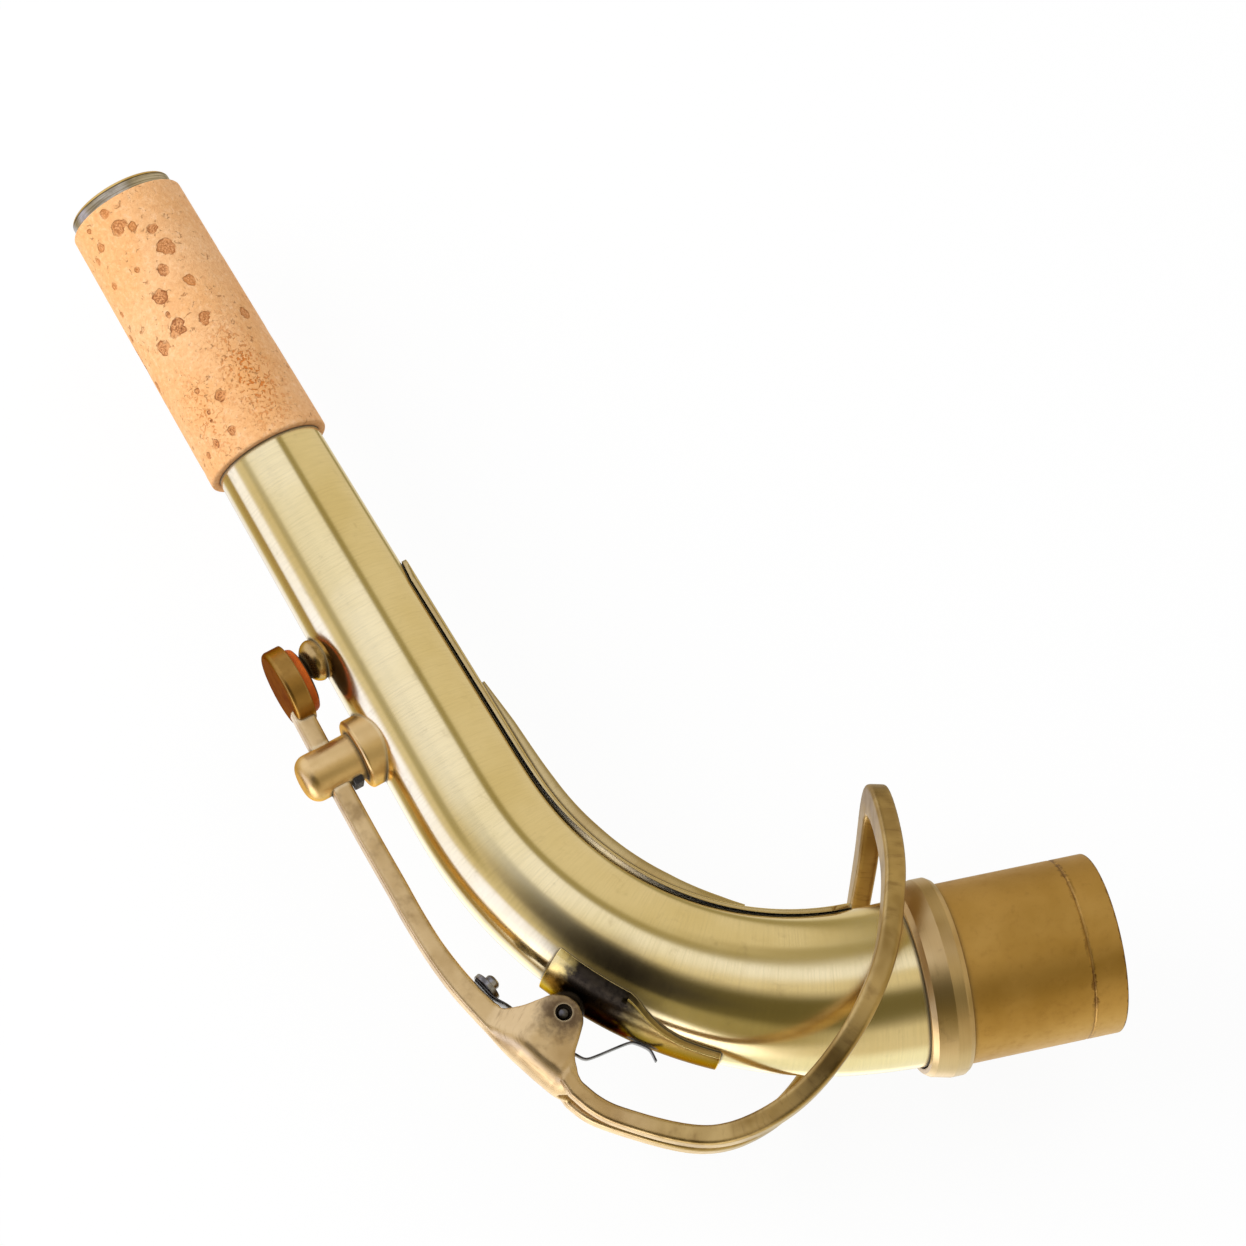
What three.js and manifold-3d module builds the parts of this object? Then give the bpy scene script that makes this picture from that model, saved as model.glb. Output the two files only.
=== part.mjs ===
// Neck of an alto saxophone: a conical brass tube with its tenon, cork, brace and octave key.
// Millimetres. The origin is on the tenon's axis, in the plane of the collar's seat.
// +Z runs up the tenon's axis into the neck, +X points towards the mouthpiece end,
// and the neck bends in the plane Y = 0 with the octave key on the outer side of the bend.
import * as THREE from "three";
import { mergeVertices } from "three/addons/utils/BufferGeometryUtils.js";
import Module from "manifold-3d";

const wasm = await Module();
wasm.setup();

const degree = Math.PI / 180;

// Clearances shared by every piece
const seatGap = 0.25; // between a soldered or glued piece and its seat
const runningGap = 0.08; // round the pivot screw
const screwGap = 0.2; // round the spring's screw
const cutOverrun = 1; // how far a cutting tool runs past what it cuts
const weldDistance = 1e-4; // closer corners are one corner

// Centreline, measured along the neck from the seat
const neckLength = 169.8;
const leadLength = 3.4;
const easeLength = 10.8;
const bendRadius = 49.8;
const bendAngle = 73 * degree;

// Neck tube: a cone that flares towards the tenon
const tubeWall = 0.7;
const tipRadius = 6.95;
const coneFootRadius = 9.93;
const flareDepth = 1.67;
const flareLength = 70;
const flarePower = 1.5;

// Tenon and its collar
const tenonRadius = 12.2;
const tenonWall = 0.8;
const tenonLength = 21.4;
const tenonInsertion = 2.35;
const grooveFromEnd = 4.6;
const grooveWidth = 0.4;
const grooveDepth = 0.15;
const collarRadius = 13.4;
const collarHeight = 5.6;
const collarSeatWidth = 0.5;
const collarLowBevel = 0.7;
const collarCrestHeight = 2.4;
const collarSlopeHeight = 4.4;
const collarSlopeRadius = 12.8;

// Cork and the ring at the mouthpiece end
const corkLength = 40.8;
const corkFootRadius = 8.8;
const corkTipRadius = 8.25;
const corkEdge = 0.35;
const tipRingRadius = 7.5;
const tipRingLength = 2;
const tipRingRebate = 0.6;
const tipRingEdge = 0.3;

// Octave pip: a vent tube through the wall with a domed seat
const pipStation = 100.6;
const pipBaseRadius = 2.95;
const pipTopRadius = 1.7;
const pipHeight = 2.4;
const pipStemRadius = 1.9;
const pipStemDepth = 5;
const pipVentRadius = 0.75;

// Pad and its cup
const padStation = 99;
const padRadius = 4.6;
const padThickness = 2.55;
const padEdge = 0.4;
const cupRadius = 5.55;
const cupThickness = 2.7;
const cupRecess = 1.3;
const cupEdge = 0.5;

// Key guide: a slotted post on a round foot, with felt at the bottom of the slot
const guideStation = 86.3;
const guideFootRadius = 4.95;
const guideFootHeight = 1.95;
const guidePostRadius = 3.35;
const guidePostHeight = 8.1;
const guideDome = 1.9;
const guideFloor = 0.6;
const guideSlot = 3.7;
const feltThickness = 0.8;
const feltWidth = 3.1;
const feltLength = 6.2;

// Saddle plate soldered over the outer side of the bend
const saddleFore = 50.8;
const saddleShoulder = 40.8;
const saddleAft = 29.3;
const saddleThickness = 0.6;
const saddleHalfWidth = 7.1;
const saddleTailHalfWidth = 3.3;

// Pivot of the octave key
const pivotStation = 46.7;
const pivotHeight = 3.1;
const pivotRadius = 0.8;
const pivotSlotWidth = 0.35;
const pivotSlotDepth = 0.3;
const postWidth = 4.7;
const postRadius = 1.75;
const postFoot = 1.4;

// Yoke: an arched saddle with two ears, drawn in to the arm in front and open to the ring behind
const yokeWidth = 8.8;
const yokeFore = 8.2;
const yokeAft = 6.5;
const yokeCrown = 8.5;
const yokeCrotch = 1.7;
const earDrop = 2.2;
const earGap = 5.2;
const screwRecess = 0.35;
const recessRadius = 1.15;

// Lever arm between the yoke and the pad cup
const armWidth = 3;
const armThickness = 2.8;
const armRootThickness = 3.3;
const armHeight = 5.9;
const armEdge = 0.35;

// Octave ring
const ringHalfWidth = 16.7;
const ringReach = 30.7;
const ringDrop = 48.9;
const ringRootHeight = 7.75;
const ringSkewShare = 0.14;
const ringRadialRoot = 2.4;
const ringRadialLoop = 4.4;
const ringAxialRoot = 2.4;
const ringAxialLoop = 2.8;
const ringEdge = 0.55;

// Leaf spring, its screw and washer
const springThickness = 0.25;
const springWidth = 1.1;
const springHeadWidth = 2.6;
const springTail = 1.7;
const springRise = 2.65;
const springKink = 5.5;
const springCurl = 1.2;
const springScrewInset = 3.2;
const screwHeadRadius = 1.05;
const screwHeadHeight = 0.9;
const screwShankRadius = 0.5;
const screwGrip = 1.5;
const washerRadius = 2.1;
const washerThickness = 0.5;

// Brace on the inner side of the bend: a plate with a rib on it
const braceFore = 107;
const braceAft = 11;
const braceHalfWidth = 3.5;
const braceThickness = 0.6;
const ribFore = 87;
const ribAft = 29.5;
const ribHalfWidth = 1.9;
const ribHeight = 1.35;

// Facets
const facetsRound = 36;
const facetsSmall = 24;
const bendSteps = 18;
const straightSteps = 4;
const axisSteps = 120;

const bendLength = bendAngle * bendRadius + easeLength;
const bendEnd = leadLength + bendLength;

// Angle between the centreline and the tenon's axis at a station
function turnAt(station) {
  const run = station - leadLength;
  const left = bendLength - run;
  if (run <= 0) return 0;
  if (run < easeLength) return (run * run) / easeLength / 2 / bendRadius;
  if (left > easeLength) return (run - easeLength / 2) / bendRadius;
  if (left > 0) return bendAngle - (left * left) / easeLength / 2 / bendRadius;
  return bendAngle;
}

// Centreline point at a station, with its direction
function axisAt(station) {
  const step = station / axisSteps;
  const centre = new THREE.Vector3();
  for (let i = 0; i < axisSteps; i++) {
    const angle = turnAt((i + 1 / 2) * step);
    centre.x += Math.sin(angle) * step;
    centre.z += Math.cos(angle) * step;
  }
  return { centre, angle: turnAt(station) };
}

// Point at a station, so far out from the centreline and so far to the side
function pointAt(station, out, side) {
  const { centre, angle } = axisAt(station);
  return new THREE.Vector3(
    centre.x - Math.cos(angle) * out,
    side,
    centre.z + Math.sin(angle) * out,
  );
}

// Frame at a station: X along the neck, Y outwards and Z to the side, lifted off the centreline
function frameAt(station, out) {
  const { angle } = axisAt(station);
  const along = new THREE.Vector3(Math.sin(angle), 0, Math.cos(angle));
  const outward = new THREE.Vector3(-Math.cos(angle), 0, Math.sin(angle));
  const across = new THREE.Vector3().crossVectors(along, outward);
  return new THREE.Matrix4()
    .makeBasis(along, outward, across)
    .setPosition(pointAt(station, out, 0));
}

// Outer radius of the tube at a station
function tubeRadius(station) {
  const cone = coneFootRadius + ((tipRadius - coneFootRadius) * station) / neckLength;
  const flareShare = Math.max(0, 1 - Math.max(0, station) / flareLength);
  return cone + flareDepth * flareShare ** flarePower;
}

// Stations between two ends: close together in the bend, wide apart on the straight
function stationsBetween(from, to) {
  const stops = [];
  for (let i = 0; i <= bendSteps; i++) stops.push(leadLength + (bendLength * i) / bendSteps);
  for (let i = 1; i <= straightSteps; i++)
    stops.push(bendEnd + ((neckLength - bendEnd) * i) / straightSteps);
  const low = Math.min(from, to) + seatGap;
  const high = Math.max(from, to) - seatGap;
  const inside = stops.filter((station) => station > low && station < high);
  if (from > to) inside.reverse();
  return [from, ...inside, to];
}

// Skin over rings with equally many points, capped at its ends or closed on itself
function skin(rings, closed) {
  const count = rings[0].length;
  const points = rings.flat();
  const faces = [];
  const last = closed ? rings.length : rings.length - 1;
  for (let i = 0; i < last; i++)
    for (let j = 0; j < count; j++) {
      const a = i * count + j;
      const b = i * count + ((j + 1) % count);
      const c = ((i + 1) % rings.length) * count + j;
      const d = ((i + 1) % rings.length) * count + ((j + 1) % count);
      faces.push(a, b, c, b, d, c);
    }
  if (!closed) {
    for (const base of [0, (rings.length - 1) * count]) {
      const outline = THREE.ShapeUtils.triangulateShape(flatten(rings[base / count]), []);
      for (const [a, b, c] of outline)
        faces.push(...(base ? [base + a, base + b, base + c] : [c, b, a]));
    }
  }
  const geometry = new THREE.BufferGeometry().setFromPoints(points);
  geometry.setIndex(faces);
  return geometry;
}

// Ring of points laid flat in its own plane, seen along the ring's normal
function flatten(ring) {
  const normal = new THREE.Vector3();
  ring.forEach((point, i) => {
    const next = ring[(i + 1) % ring.length];
    normal.add(new THREE.Vector3().crossVectors(point, next));
  });
  normal.normalize();
  const across = ring[1].clone().sub(ring[0]).normalize();
  const up = new THREE.Vector3().crossVectors(normal, across);
  return ring.map((point) => new THREE.Vector2(point.dot(across), point.dot(up)));
}

// Closed geometry as a solid, turned right side out
function solidOf(geometry) {
  const bare = geometry.clone();
  for (const name of Object.keys(bare.attributes)) if (name !== "position") bare.deleteAttribute(name);
  const merged = mergeVertices(bare, weldDistance);
  const triVerts = new Uint32Array(merged.index.array);
  const vertProperties = new Float32Array(merged.attributes.position.array);
  const at = (k) => new THREE.Vector3().fromArray(vertProperties, triVerts[k] * 3);
  let volume = 0;
  for (let k = 0; k < triVerts.length; k += 3) volume += at(k).dot(at(k + 1).cross(at(k + 2)));
  if (volume < 0)
    for (let k = 0; k < triVerts.length; k += 3)
      [triVerts[k], triVerts[k + 1]] = [triVerts[k + 1], triVerts[k]];
  return new wasm.Manifold(new wasm.Mesh({ numProp: 3, vertProperties, triVerts }));
}

// Solid of revolution from radius and height pairs, its axis set outwards at a station
function turned(profile, matrix, facets = facetsSmall) {
  const outline = profile.map(([radius, height]) => new THREE.Vector2(radius, height));
  return solidOf(new THREE.LatheGeometry(outline, facets).applyMatrix4(matrix));
}

// Revolved ring, whose profile closes on itself
function turnedRing(profile, matrix, facets = facetsRound) {
  return turned([...profile, profile[0]], matrix, facets);
}

// Outline extruded evenly to both sides of a frame's XY plane
function plate(shape, width, matrix, bevel = 0) {
  const geometry = new THREE.ExtrudeGeometry(shape, {
    depth: width - 2 * bevel,
    bevelEnabled: bevel > 0,
    bevelSize: bevel,
    bevelThickness: bevel,
    bevelOffset: -bevel,
    bevelSegments: 2,
    curveSegments: 10,
  });
  geometry.translate(0, 0, bevel - width / 2);
  return solidOf(geometry.applyMatrix4(matrix));
}

// Round rod or cutter along a frame's Y or Z axis, from one height to another
function rod(radius, from, to, matrix, sideways = false, facets = facetsSmall) {
  const geometry = new THREE.CylinderGeometry(radius, radius, to - from, facets);
  geometry.translate(0, (from + to) / 2, 0);
  if (sideways) geometry.rotateX(Math.PI / 2);
  return solidOf(geometry.applyMatrix4(matrix));
}

// Block between two corners of a frame
function block(low, high, matrix) {
  const size = high.clone().sub(low);
  const middle = high.clone().add(low).multiplyScalar(1 / 2);
  const geometry = new THREE.BoxGeometry(size.x, size.y, size.z);
  return solidOf(geometry.translate(middle.x, middle.y, middle.z).applyMatrix4(matrix));
}

// Circle round the centreline at a station
function circleAt(station, radius) {
  const ring = [];
  for (let j = 0; j < facetsRound; j++) {
    const phi = (2 * Math.PI * j) / facetsRound;
    ring.push(pointAt(station, Math.cos(phi) * radius, Math.sin(phi) * radius));
  }
  return ring;
}

// Sleeve round the centreline, with its outer and inner radius as functions of the station
function sleeve(from, to, outer, inner) {
  const stations = stationsBetween(from, to);
  const outside = stations.map((station) => circleAt(station, outer(station)));
  const inside = stations.map((station) => circleAt(station, inner(station))).reverse();
  return solidOf(skin([...outside, ...inside], true));
}

// Solid stretch of the neck, grown by an allowance, for cutting what sits on the tube
function neckCutter(from, to, allowance) {
  const rings = stationsBetween(from, to).map((station) =>
    circleAt(station, tubeRadius(station) + allowance),
  );
  return solidOf(skin(rings, false));
}

// Section of a strip lying on the tube, from one height above it to another
function stripSection(station, low, high, halfWidth, side) {
  const columns = 8;
  const ring = [];
  const add = (height, share) => {
    const y = halfWidth * share;
    const radius = tubeRadius(station) + height;
    ring.push(pointAt(station, side * Math.sqrt(radius * radius - y * y), y));
  };
  for (let j = 0; j <= columns; j++) add(high, (2 * j) / columns - 1);
  for (let j = columns; j >= 0; j--) add(low, (2 * j) / columns - 1);
  return ring;
}

// Value read off a list of share pairs by straight lines
function readShares(shares, at) {
  const next = Math.max(1, shares.findIndex(([share]) => share >= at));
  const [fromShare, fromValue] = shares[next - 1];
  const [toShare, toValue] = shares[next];
  return fromValue + ((toValue - fromValue) * (at - fromShare)) / (toShare - fromShare);
}

// Strip along the tube whose width and height follow share lists along its length
function strip(from, to, low, thickness, halfWidth, side, widthShares, heightShares) {
  const sorted = [...widthShares, ...heightShares].map(([share]) => from + (to - from) * share);
  const stations = [...new Set([...stationsBetween(from, to), ...sorted])];
  stations.sort((a, b) => (from < to ? a - b : b - a));
  const kept = stations.filter((s, i) => i === 0 || Math.abs(s - stations[i - 1]) > seatGap);
  const rings = kept.map((station) => {
    const share = (station - from) / (to - from);
    const width = halfWidth * readShares(widthShares, share);
    const height = low + thickness * readShares(heightShares, share);
    return stripSection(station, low, height, width, side);
  });
  return solidOf(skin(rings, false));
}

// Section of a bar: a rectangle with its edges taken off
function barSection(centre, thick, halfThick, wide, halfWide, edge) {
  const corners = [];
  for (const [a, b] of [[1, 1], [-1, 1], [-1, -1], [1, -1]]) {
    const first = a * b > 0 ? [halfThick, halfWide - edge] : [halfThick - edge, halfWide];
    const second = a * b > 0 ? [halfThick - edge, halfWide] : [halfThick, halfWide - edge];
    for (const [t, w] of [first, second])
      corners.push(centre.clone().addScaledVector(thick, a * t).addScaledVector(wide, b * w));
  }
  return corners;
}

// Shape through a list of points in a frame's XY plane
function outlineOf(points) {
  return new THREE.Shape(points.map(([x, y]) => new THREE.Vector2(x, y)));
}

const pivotOut = tubeRadius(pivotStation) + pivotHeight;
const pivotFrame = frameAt(pivotStation, pivotOut);
const uprightFrame = new THREE.Matrix4().makeRotationX(Math.PI / 2);

// Neck tube with the hole for the pip's stem
function neckTube() {
  const tube = sleeve(
    tenonInsertion + seatGap,
    neckLength + tipRingRebate,
    tubeRadius,
    (station) => tubeRadius(station) - tubeWall,
  );
  const hole = rod(
    pipStemRadius + seatGap,
    0,
    tubeRadius(pipStation) + cutOverrun,
    frameAt(pipStation, 0),
  );
  return tube.subtract(hole);
}

// Tenon sleeve with the fine groove near its end
function tenonSleeve() {
  const inner = tenonRadius - tenonWall;
  const groove = grooveFromEnd - tenonLength;
  return turnedRing(
    [
      [inner, -tenonLength],
      [tenonRadius - grooveDepth, -tenonLength],
      [tenonRadius, grooveDepth - tenonLength],
      [tenonRadius, groove - grooveWidth / 2],
      [tenonRadius - grooveDepth, groove],
      [tenonRadius, groove + grooveWidth / 2],
      [tenonRadius, tenonInsertion],
      [inner, tenonInsertion],
    ],
    uprightFrame,
  );
}

// Collar that joins the tenon to the tube and stops the neck on its receiver
function tenonCollar() {
  const lowBore = tenonRadius + seatGap;
  const highBore = tubeRadius(tenonInsertion) + seatGap;
  const step = tenonInsertion + seatGap;
  const lip = highBore + collarSeatWidth;
  return turnedRing(
    [
      [lowBore, 0],
      [lowBore + collarSeatWidth, 0],
      [collarRadius, collarLowBevel],
      [collarRadius, collarCrestHeight],
      [collarSlopeRadius, collarSlopeHeight],
      [lip, collarHeight],
      [highBore, collarHeight],
      [highBore, step],
      [lowBore, step],
    ],
    uprightFrame,
  );
}

// Cork sleeve with its edges eased
function neckCork() {
  const start = neckLength - corkLength;
  const radius = (station) => {
    const share = (station - start) / corkLength;
    const ends = Math.min(1, Math.min(station - start, neckLength - station) / corkEdge);
    return corkFootRadius + (corkTipRadius - corkFootRadius) * share - corkEdge * (1 - ends);
  };
  const stations = [start, start + corkEdge, ...stationsBetween(start, neckLength).slice(1, -1)];
  stations.push(neckLength - corkEdge, neckLength);
  const outside = stations.map((station) => circleAt(station, radius(station)));
  const inside = [neckLength, start].map((station) =>
    circleAt(station, tubeRadius(station) + seatGap),
  );
  return solidOf(skin([...outside, ...inside], true));
}

// Ring with a rebate that caps the end of the tube
function tipRing() {
  const bore = tubeRadius(neckLength) - tubeWall;
  const rebate = tubeRadius(neckLength) + seatGap;
  const low = neckLength + seatGap;
  const step = neckLength + tipRingRebate + seatGap;
  const high = neckLength + tipRingLength;
  const rings = [
    [rebate, low],
    [tipRingRadius, low],
    [tipRingRadius, high - tipRingEdge],
    [tipRingRadius - tipRingEdge, high],
    [bore, high],
    [bore, step],
    [rebate, step],
  ].map(([radius, station]) => circleAt(station, radius));
  return solidOf(skin(rings, true));
}

// Vent tube with its domed seat
function octavePip() {
  const wall = tubeRadius(pipStation);
  const top = wall + pipHeight;
  const bottom = wall - tubeWall - pipStemDepth;
  const foot = wall - pipBaseRadius ** 2 / wall / 2 - seatGap;
  const profile = [
    [pipVentRadius, bottom],
    [pipStemRadius, bottom],
    [pipStemRadius, foot],
    [pipBaseRadius, foot],
  ];
  const domeSteps = 5;
  for (let i = 0; i <= domeSteps; i++) {
    const angle = (Math.PI / 2) * (i / domeSteps);
    profile.push([
      pipTopRadius + (pipBaseRadius - pipTopRadius) * Math.cos(angle),
      wall + pipHeight / 4 + ((pipHeight * 3) / 4) * Math.sin(angle),
    ]);
  }
  profile.push([pipVentRadius, top]);
  const pip = turnedRing(profile, frameAt(pipStation, 0), facetsSmall);
  const reach = pipBaseRadius + cutOverrun;
  const shell = neckCutter(pipStation - reach, pipStation + reach, seatGap);
  const core = rod(pipStemRadius, 0, top, frameAt(pipStation, 0));
  return pip.subtract(shell.subtract(core));
}

// Round foot of the key guide, shaped to the tube
function guideBase() {
  const wall = tubeRadius(guideStation);
  const foot = wall - guideFootRadius ** 2 / wall;
  const matrix = frameAt(guideStation, 0);
  const disc = turned(
    [
      [0, foot],
      [guideFootRadius, foot],
      [guideFootRadius, wall + guideFootHeight - guideFloor / 2],
      [guideFootRadius - guideFloor / 2, wall + guideFootHeight],
      [0, wall + guideFootHeight],
    ],
    matrix,
    facetsRound,
  );
  const reach = guideFootRadius + cutOverrun;
  return disc.subtract(neckCutter(guideStation - reach, guideStation + reach, seatGap));
}

// Slotted post that keeps the lever arm in line
function keyGuide() {
  const low = tubeRadius(guideStation) + guideFootHeight + seatGap;
  const high = low + guidePostHeight;
  const matrix = frameAt(guideStation, 0);
  const profile = [
    [0, low],
    [guidePostRadius, low],
  ];
  const domeSteps = 5;
  for (let i = 0; i <= domeSteps; i++) {
    const angle = (Math.PI / 2) * (i / domeSteps);
    profile.push([
      guidePostRadius - guideDome + guideDome * Math.cos(angle),
      high - guideDome + guideDome * Math.sin(angle),
    ]);
  }
  profile.push([0, high]);
  const reach = guidePostRadius + cutOverrun;
  const slot = block(
    new THREE.Vector3(-reach, low + guideFloor, -guideSlot / 2),
    new THREE.Vector3(reach, high + cutOverrun, guideSlot / 2),
    matrix,
  );
  return turned(profile, matrix).subtract(slot);
}

// Felt at the bottom of the guide's slot
function guideFelt() {
  const low = tubeRadius(guideStation) + guideFootHeight + guideFloor + 2 * seatGap;
  return block(
    new THREE.Vector3(-feltLength / 2, low, -feltWidth / 2),
    new THREE.Vector3(feltLength / 2, low + feltThickness, feltWidth / 2),
    frameAt(guideStation, 0),
  );
}

// Plate that carries the pivot: wide and square in front, drawn in to a narrow tail
function saddlePlate() {
  const shoulder = (saddleFore - saddleShoulder) / (saddleFore - saddleAft);
  const tailShare = saddleTailHalfWidth / saddleHalfWidth;
  const drawInShares = [[0.1, 0.86], [0.25, 0.58], [0.42, 0.3], [0.62, 0.1], [0.85, 0.02]];
  const widthShares = [[0, 1], [shoulder, 1]];
  for (const [run, left] of drawInShares)
    widthShares.push([shoulder + (1 - shoulder) * run, tailShare + (1 - tailShare) * left]);
  widthShares.push([1, tailShare]);
  const evenShares = [[0, 1], [1, 1]];
  return strip(
    saddleFore,
    saddleAft,
    seatGap,
    saddleThickness,
    saddleHalfWidth,
    1,
    widthShares,
    evenShares,
  );
}

// Post on the saddle plate that the key turns on
function hingePost() {
  const rise = pivotHeight - saddleThickness;
  const arc = new THREE.Shape();
  arc.moveTo(-postFoot, -rise - cutOverrun);
  arc.lineTo(-postFoot, -rise);
  arc.lineTo(-postRadius, 0);
  arc.absarc(0, 0, postRadius, Math.PI, 0, true);
  arc.lineTo(postFoot, -rise);
  arc.lineTo(postFoot, -rise - cutOverrun);
  const bore = rod(pivotRadius + runningGap, -postWidth, postWidth, pivotFrame, true);
  const reach = postFoot + cutOverrun;
  const seat = saddleThickness + 2 * seatGap;
  const cutter = neckCutter(pivotStation - reach, pivotStation + reach, seat);
  return plate(arc, postWidth, pivotFrame).subtract(bore).subtract(cutter);
}

// Headless pivot screw with a slot in its near end
function pivotScrew() {
  const half = yokeWidth / 2 - screwRecess;
  const profile = [
    [0, -half],
    [pivotRadius - pivotSlotDepth, -half],
    [pivotRadius, pivotSlotDepth - half],
    [pivotRadius, half - pivotSlotDepth],
    [pivotRadius - pivotSlotDepth, half],
    [0, half],
  ];
  const sideways = pivotFrame.clone().multiply(uprightFrame);
  const slot = block(
    new THREE.Vector3(-pivotRadius - cutOverrun, half - pivotSlotDepth, -pivotSlotWidth / 2),
    new THREE.Vector3(pivotRadius + cutOverrun, half + cutOverrun, pivotSlotWidth / 2),
    sideways,
  );
  return turned(profile, sideways).subtract(slot);
}

// Section of the yoke: straight sides with an arched top
function yokeSection(run, halfWidth, low, shoulder, crown) {
  const archSteps = 8;
  const ring = [[-halfWidth, low]];
  for (let j = 0; j <= archSteps; j++) {
    const angle = Math.PI * (j / archSteps);
    ring.push([-halfWidth * Math.cos(angle), shoulder + (crown - shoulder) * Math.sin(angle)]);
  }
  ring.push([halfWidth, low]);
  return ring.map(([side, height]) => new THREE.Vector3(run, height, side).applyMatrix4(pivotFrame));
}

// Yoke: a loft from the arm to the ring's roots, hollowed between the ears
function keyYoke() {
  const half = yokeWidth / 2;
  const runShares = [
    0, 0.06, 0.14, 0.22, 0.29, 0.38, 0.43, 0.51, 0.61, 0.7, 0.75, 0.77, 0.8, 0.83, 0.87, 0.91, 0.95, 1,
  ];
  const widthShares = [
    0.34, 0.39, 0.55, 0.73, 0.89, 0.98, 1, 1, 1, 1, 1, 1, 1, 0.99, 0.98, 0.97, 0.96, 0.96,
  ];
  const lowShares = [
    0.33, 0.36, 0.28, 0.17, 0.04, -0.15, -0.2, -0.259, -0.248, -0.15, -0.04, 0.06, 0.25, 0.45, 0.555,
    0.625, 0.705, 0.765,
  ];
  const shoulderShares = [
    0.69, 0.66, 0.6, 0.58, 0.59, 0.625, 0.64, 0.675, 0.7, 0.72, 0.73, 0.74, 0.75, 0.8, 0.88, 0.94,
    1.01, 1.05,
  ];
  const crownShares = [
    0.755, 0.79, 0.835, 0.875, 0.905, 0.94, 0.955, 0.985, 1.02, 1.045, 1.06, 1.066, 1.075, 1.085,
    1.095, 1.1, 1.105, 1.11,
  ];
  const sections = runShares.map((share, i) =>
    yokeSection(
      yokeFore - (yokeFore + yokeAft) * share,
      half * widthShares[i],
      yokeCrown * lowShares[i],
      yokeCrown * shoulderShares[i],
      yokeCrown * crownShares[i],
    ),
  );
  const body = solidOf(skin(sections, false));
  const below = -earDrop - cutOverrun;
  const behind = -yokeAft - cutOverrun;
  const channel = plate(
    outlineOf([
      [yokeFore * 0.75, below],
      [yokeFore * 0.75, yokeCrown * 0.26],
      [yokeFore * 0.6, yokeCrown * 0.4],
      [yokeFore * 0.42, yokeCrown * 0.58],
      [yokeFore * 0.12, yokeCrown * 0.73],
      [behind, yokeCrown * 0.93],
      [behind, below],
    ]),
    earGap,
    pivotFrame,
  );
  const crotchFrame = pivotFrame.clone().multiply(new THREE.Matrix4().makeTranslation(behind, 0, 0));
  const crotchHalf = earGap * 0.36;
  const crotch = turned(
    [
      [0, 0],
      [1, 0],
      [1, 2 * yokeCrown],
      [0, 2 * yokeCrown],
    ],
    crotchFrame.multiply(
      new THREE.Matrix4().makeScale(yokeCrotch + cutOverrun, 1, crotchHalf),
    ),
  );
  const bore = rod(pivotRadius + seatGap, -half - cutOverrun, half + cutOverrun, pivotFrame, true);
  const recess = rod(recessRadius, half - screwRecess, half + cutOverrun, pivotFrame, true);
  return body.subtract(channel).subtract(crotch).subtract(bore).subtract(recess);
}

// Centreline of the lever arm, from inside the yoke's end to inside the cup
function armCurve() {
  const root = new THREE.Vector3(yokeFore, yokeCrown * 0.542, 0).applyMatrix4(pivotFrame);
  const start = pivotStation + yokeFore;
  const cup = padStation - cupRadius;
  const heightShares = [
    [0.054, 1.337],
    [0.158, 1.234],
    [0.262, 1.122],
    [0.366, 1.034],
    [0.521, 1.008],
    [0.729, 1],
    [0.936, 0.975],
    [1.05, 0.965],
  ];
  const points = heightShares.map(([run, height]) => {
    const station = start + (cup - start) * run;
    return pointAt(station, tubeRadius(station) + armHeight * height, 0);
  });
  return new THREE.CatmullRomCurve3([root, ...points]);
}

// Thickness of the lever arm at a share of its length
function armThicknessAt(share) {
  const rootShare = 0.25;
  return armThickness + (armRootThickness - armThickness) * Math.max(0, 1 - share / rootShare);
}

// Lever arm, ended square on the yoke and round the cup
function keyArm() {
  const curve = armCurve();
  const steps = 22;
  const side = new THREE.Vector3(0, 1, 0);
  const rings = [];
  for (let i = 0; i <= steps; i++) {
    const share = i / steps;
    const thick = new THREE.Vector3().crossVectors(curve.getTangentAt(share), side);
    const half = armThicknessAt(share) / 2;
    rings.push(barSection(curve.getPointAt(share), thick, half, side, armWidth / 2, armEdge));
  }
  const bar = solidOf(skin(rings, false));
  const cupCutter = rod(cupRadius + seatGap, 0, 2 * pivotOut, frameAt(padStation, 0));
  const rootCutter = block(
    new THREE.Vector3(-yokeFore, -yokeCrown, -armWidth),
    new THREE.Vector3(yokeFore + seatGap, 2 * yokeCrown, armWidth),
    pivotFrame,
  );
  const { frame } = springScrewSeat();
  const hole = rod(screwShankRadius + seatGap, -screwGrip - seatGap, cutOverrun, frame);
  return bar.subtract(cupCutter).subtract(rootCutter).subtract(hole);
}

// Cup with the recess for its pad
function padCup() {
  const front = tubeRadius(pipStation) + pipHeight + seatGap + padThickness - cupRecess + seatGap;
  const back = front + cupThickness;
  const floor = front + cupRecess;
  const recess = padRadius + seatGap;
  return turned(
    [
      [0, floor],
      [recess, floor],
      [recess, front],
      [cupRadius, front],
      [cupRadius, back - cupEdge],
      [cupRadius - cupEdge / 3, back - cupEdge / 3],
      [cupRadius - cupEdge, back],
      [0, back],
    ],
    frameAt(padStation, 0),
    facetsRound,
  );
}

// Pad, seated just above the pip
function octavePad() {
  const low = tubeRadius(pipStation) + pipHeight + seatGap;
  const high = low + padThickness;
  return turned(
    [
      [0, low],
      [padRadius - padEdge, low],
      [padRadius, low + padEdge],
      [padRadius, high],
      [0, high],
    ],
    frameAt(padStation, 0),
    facetsRound,
  );
}

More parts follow.
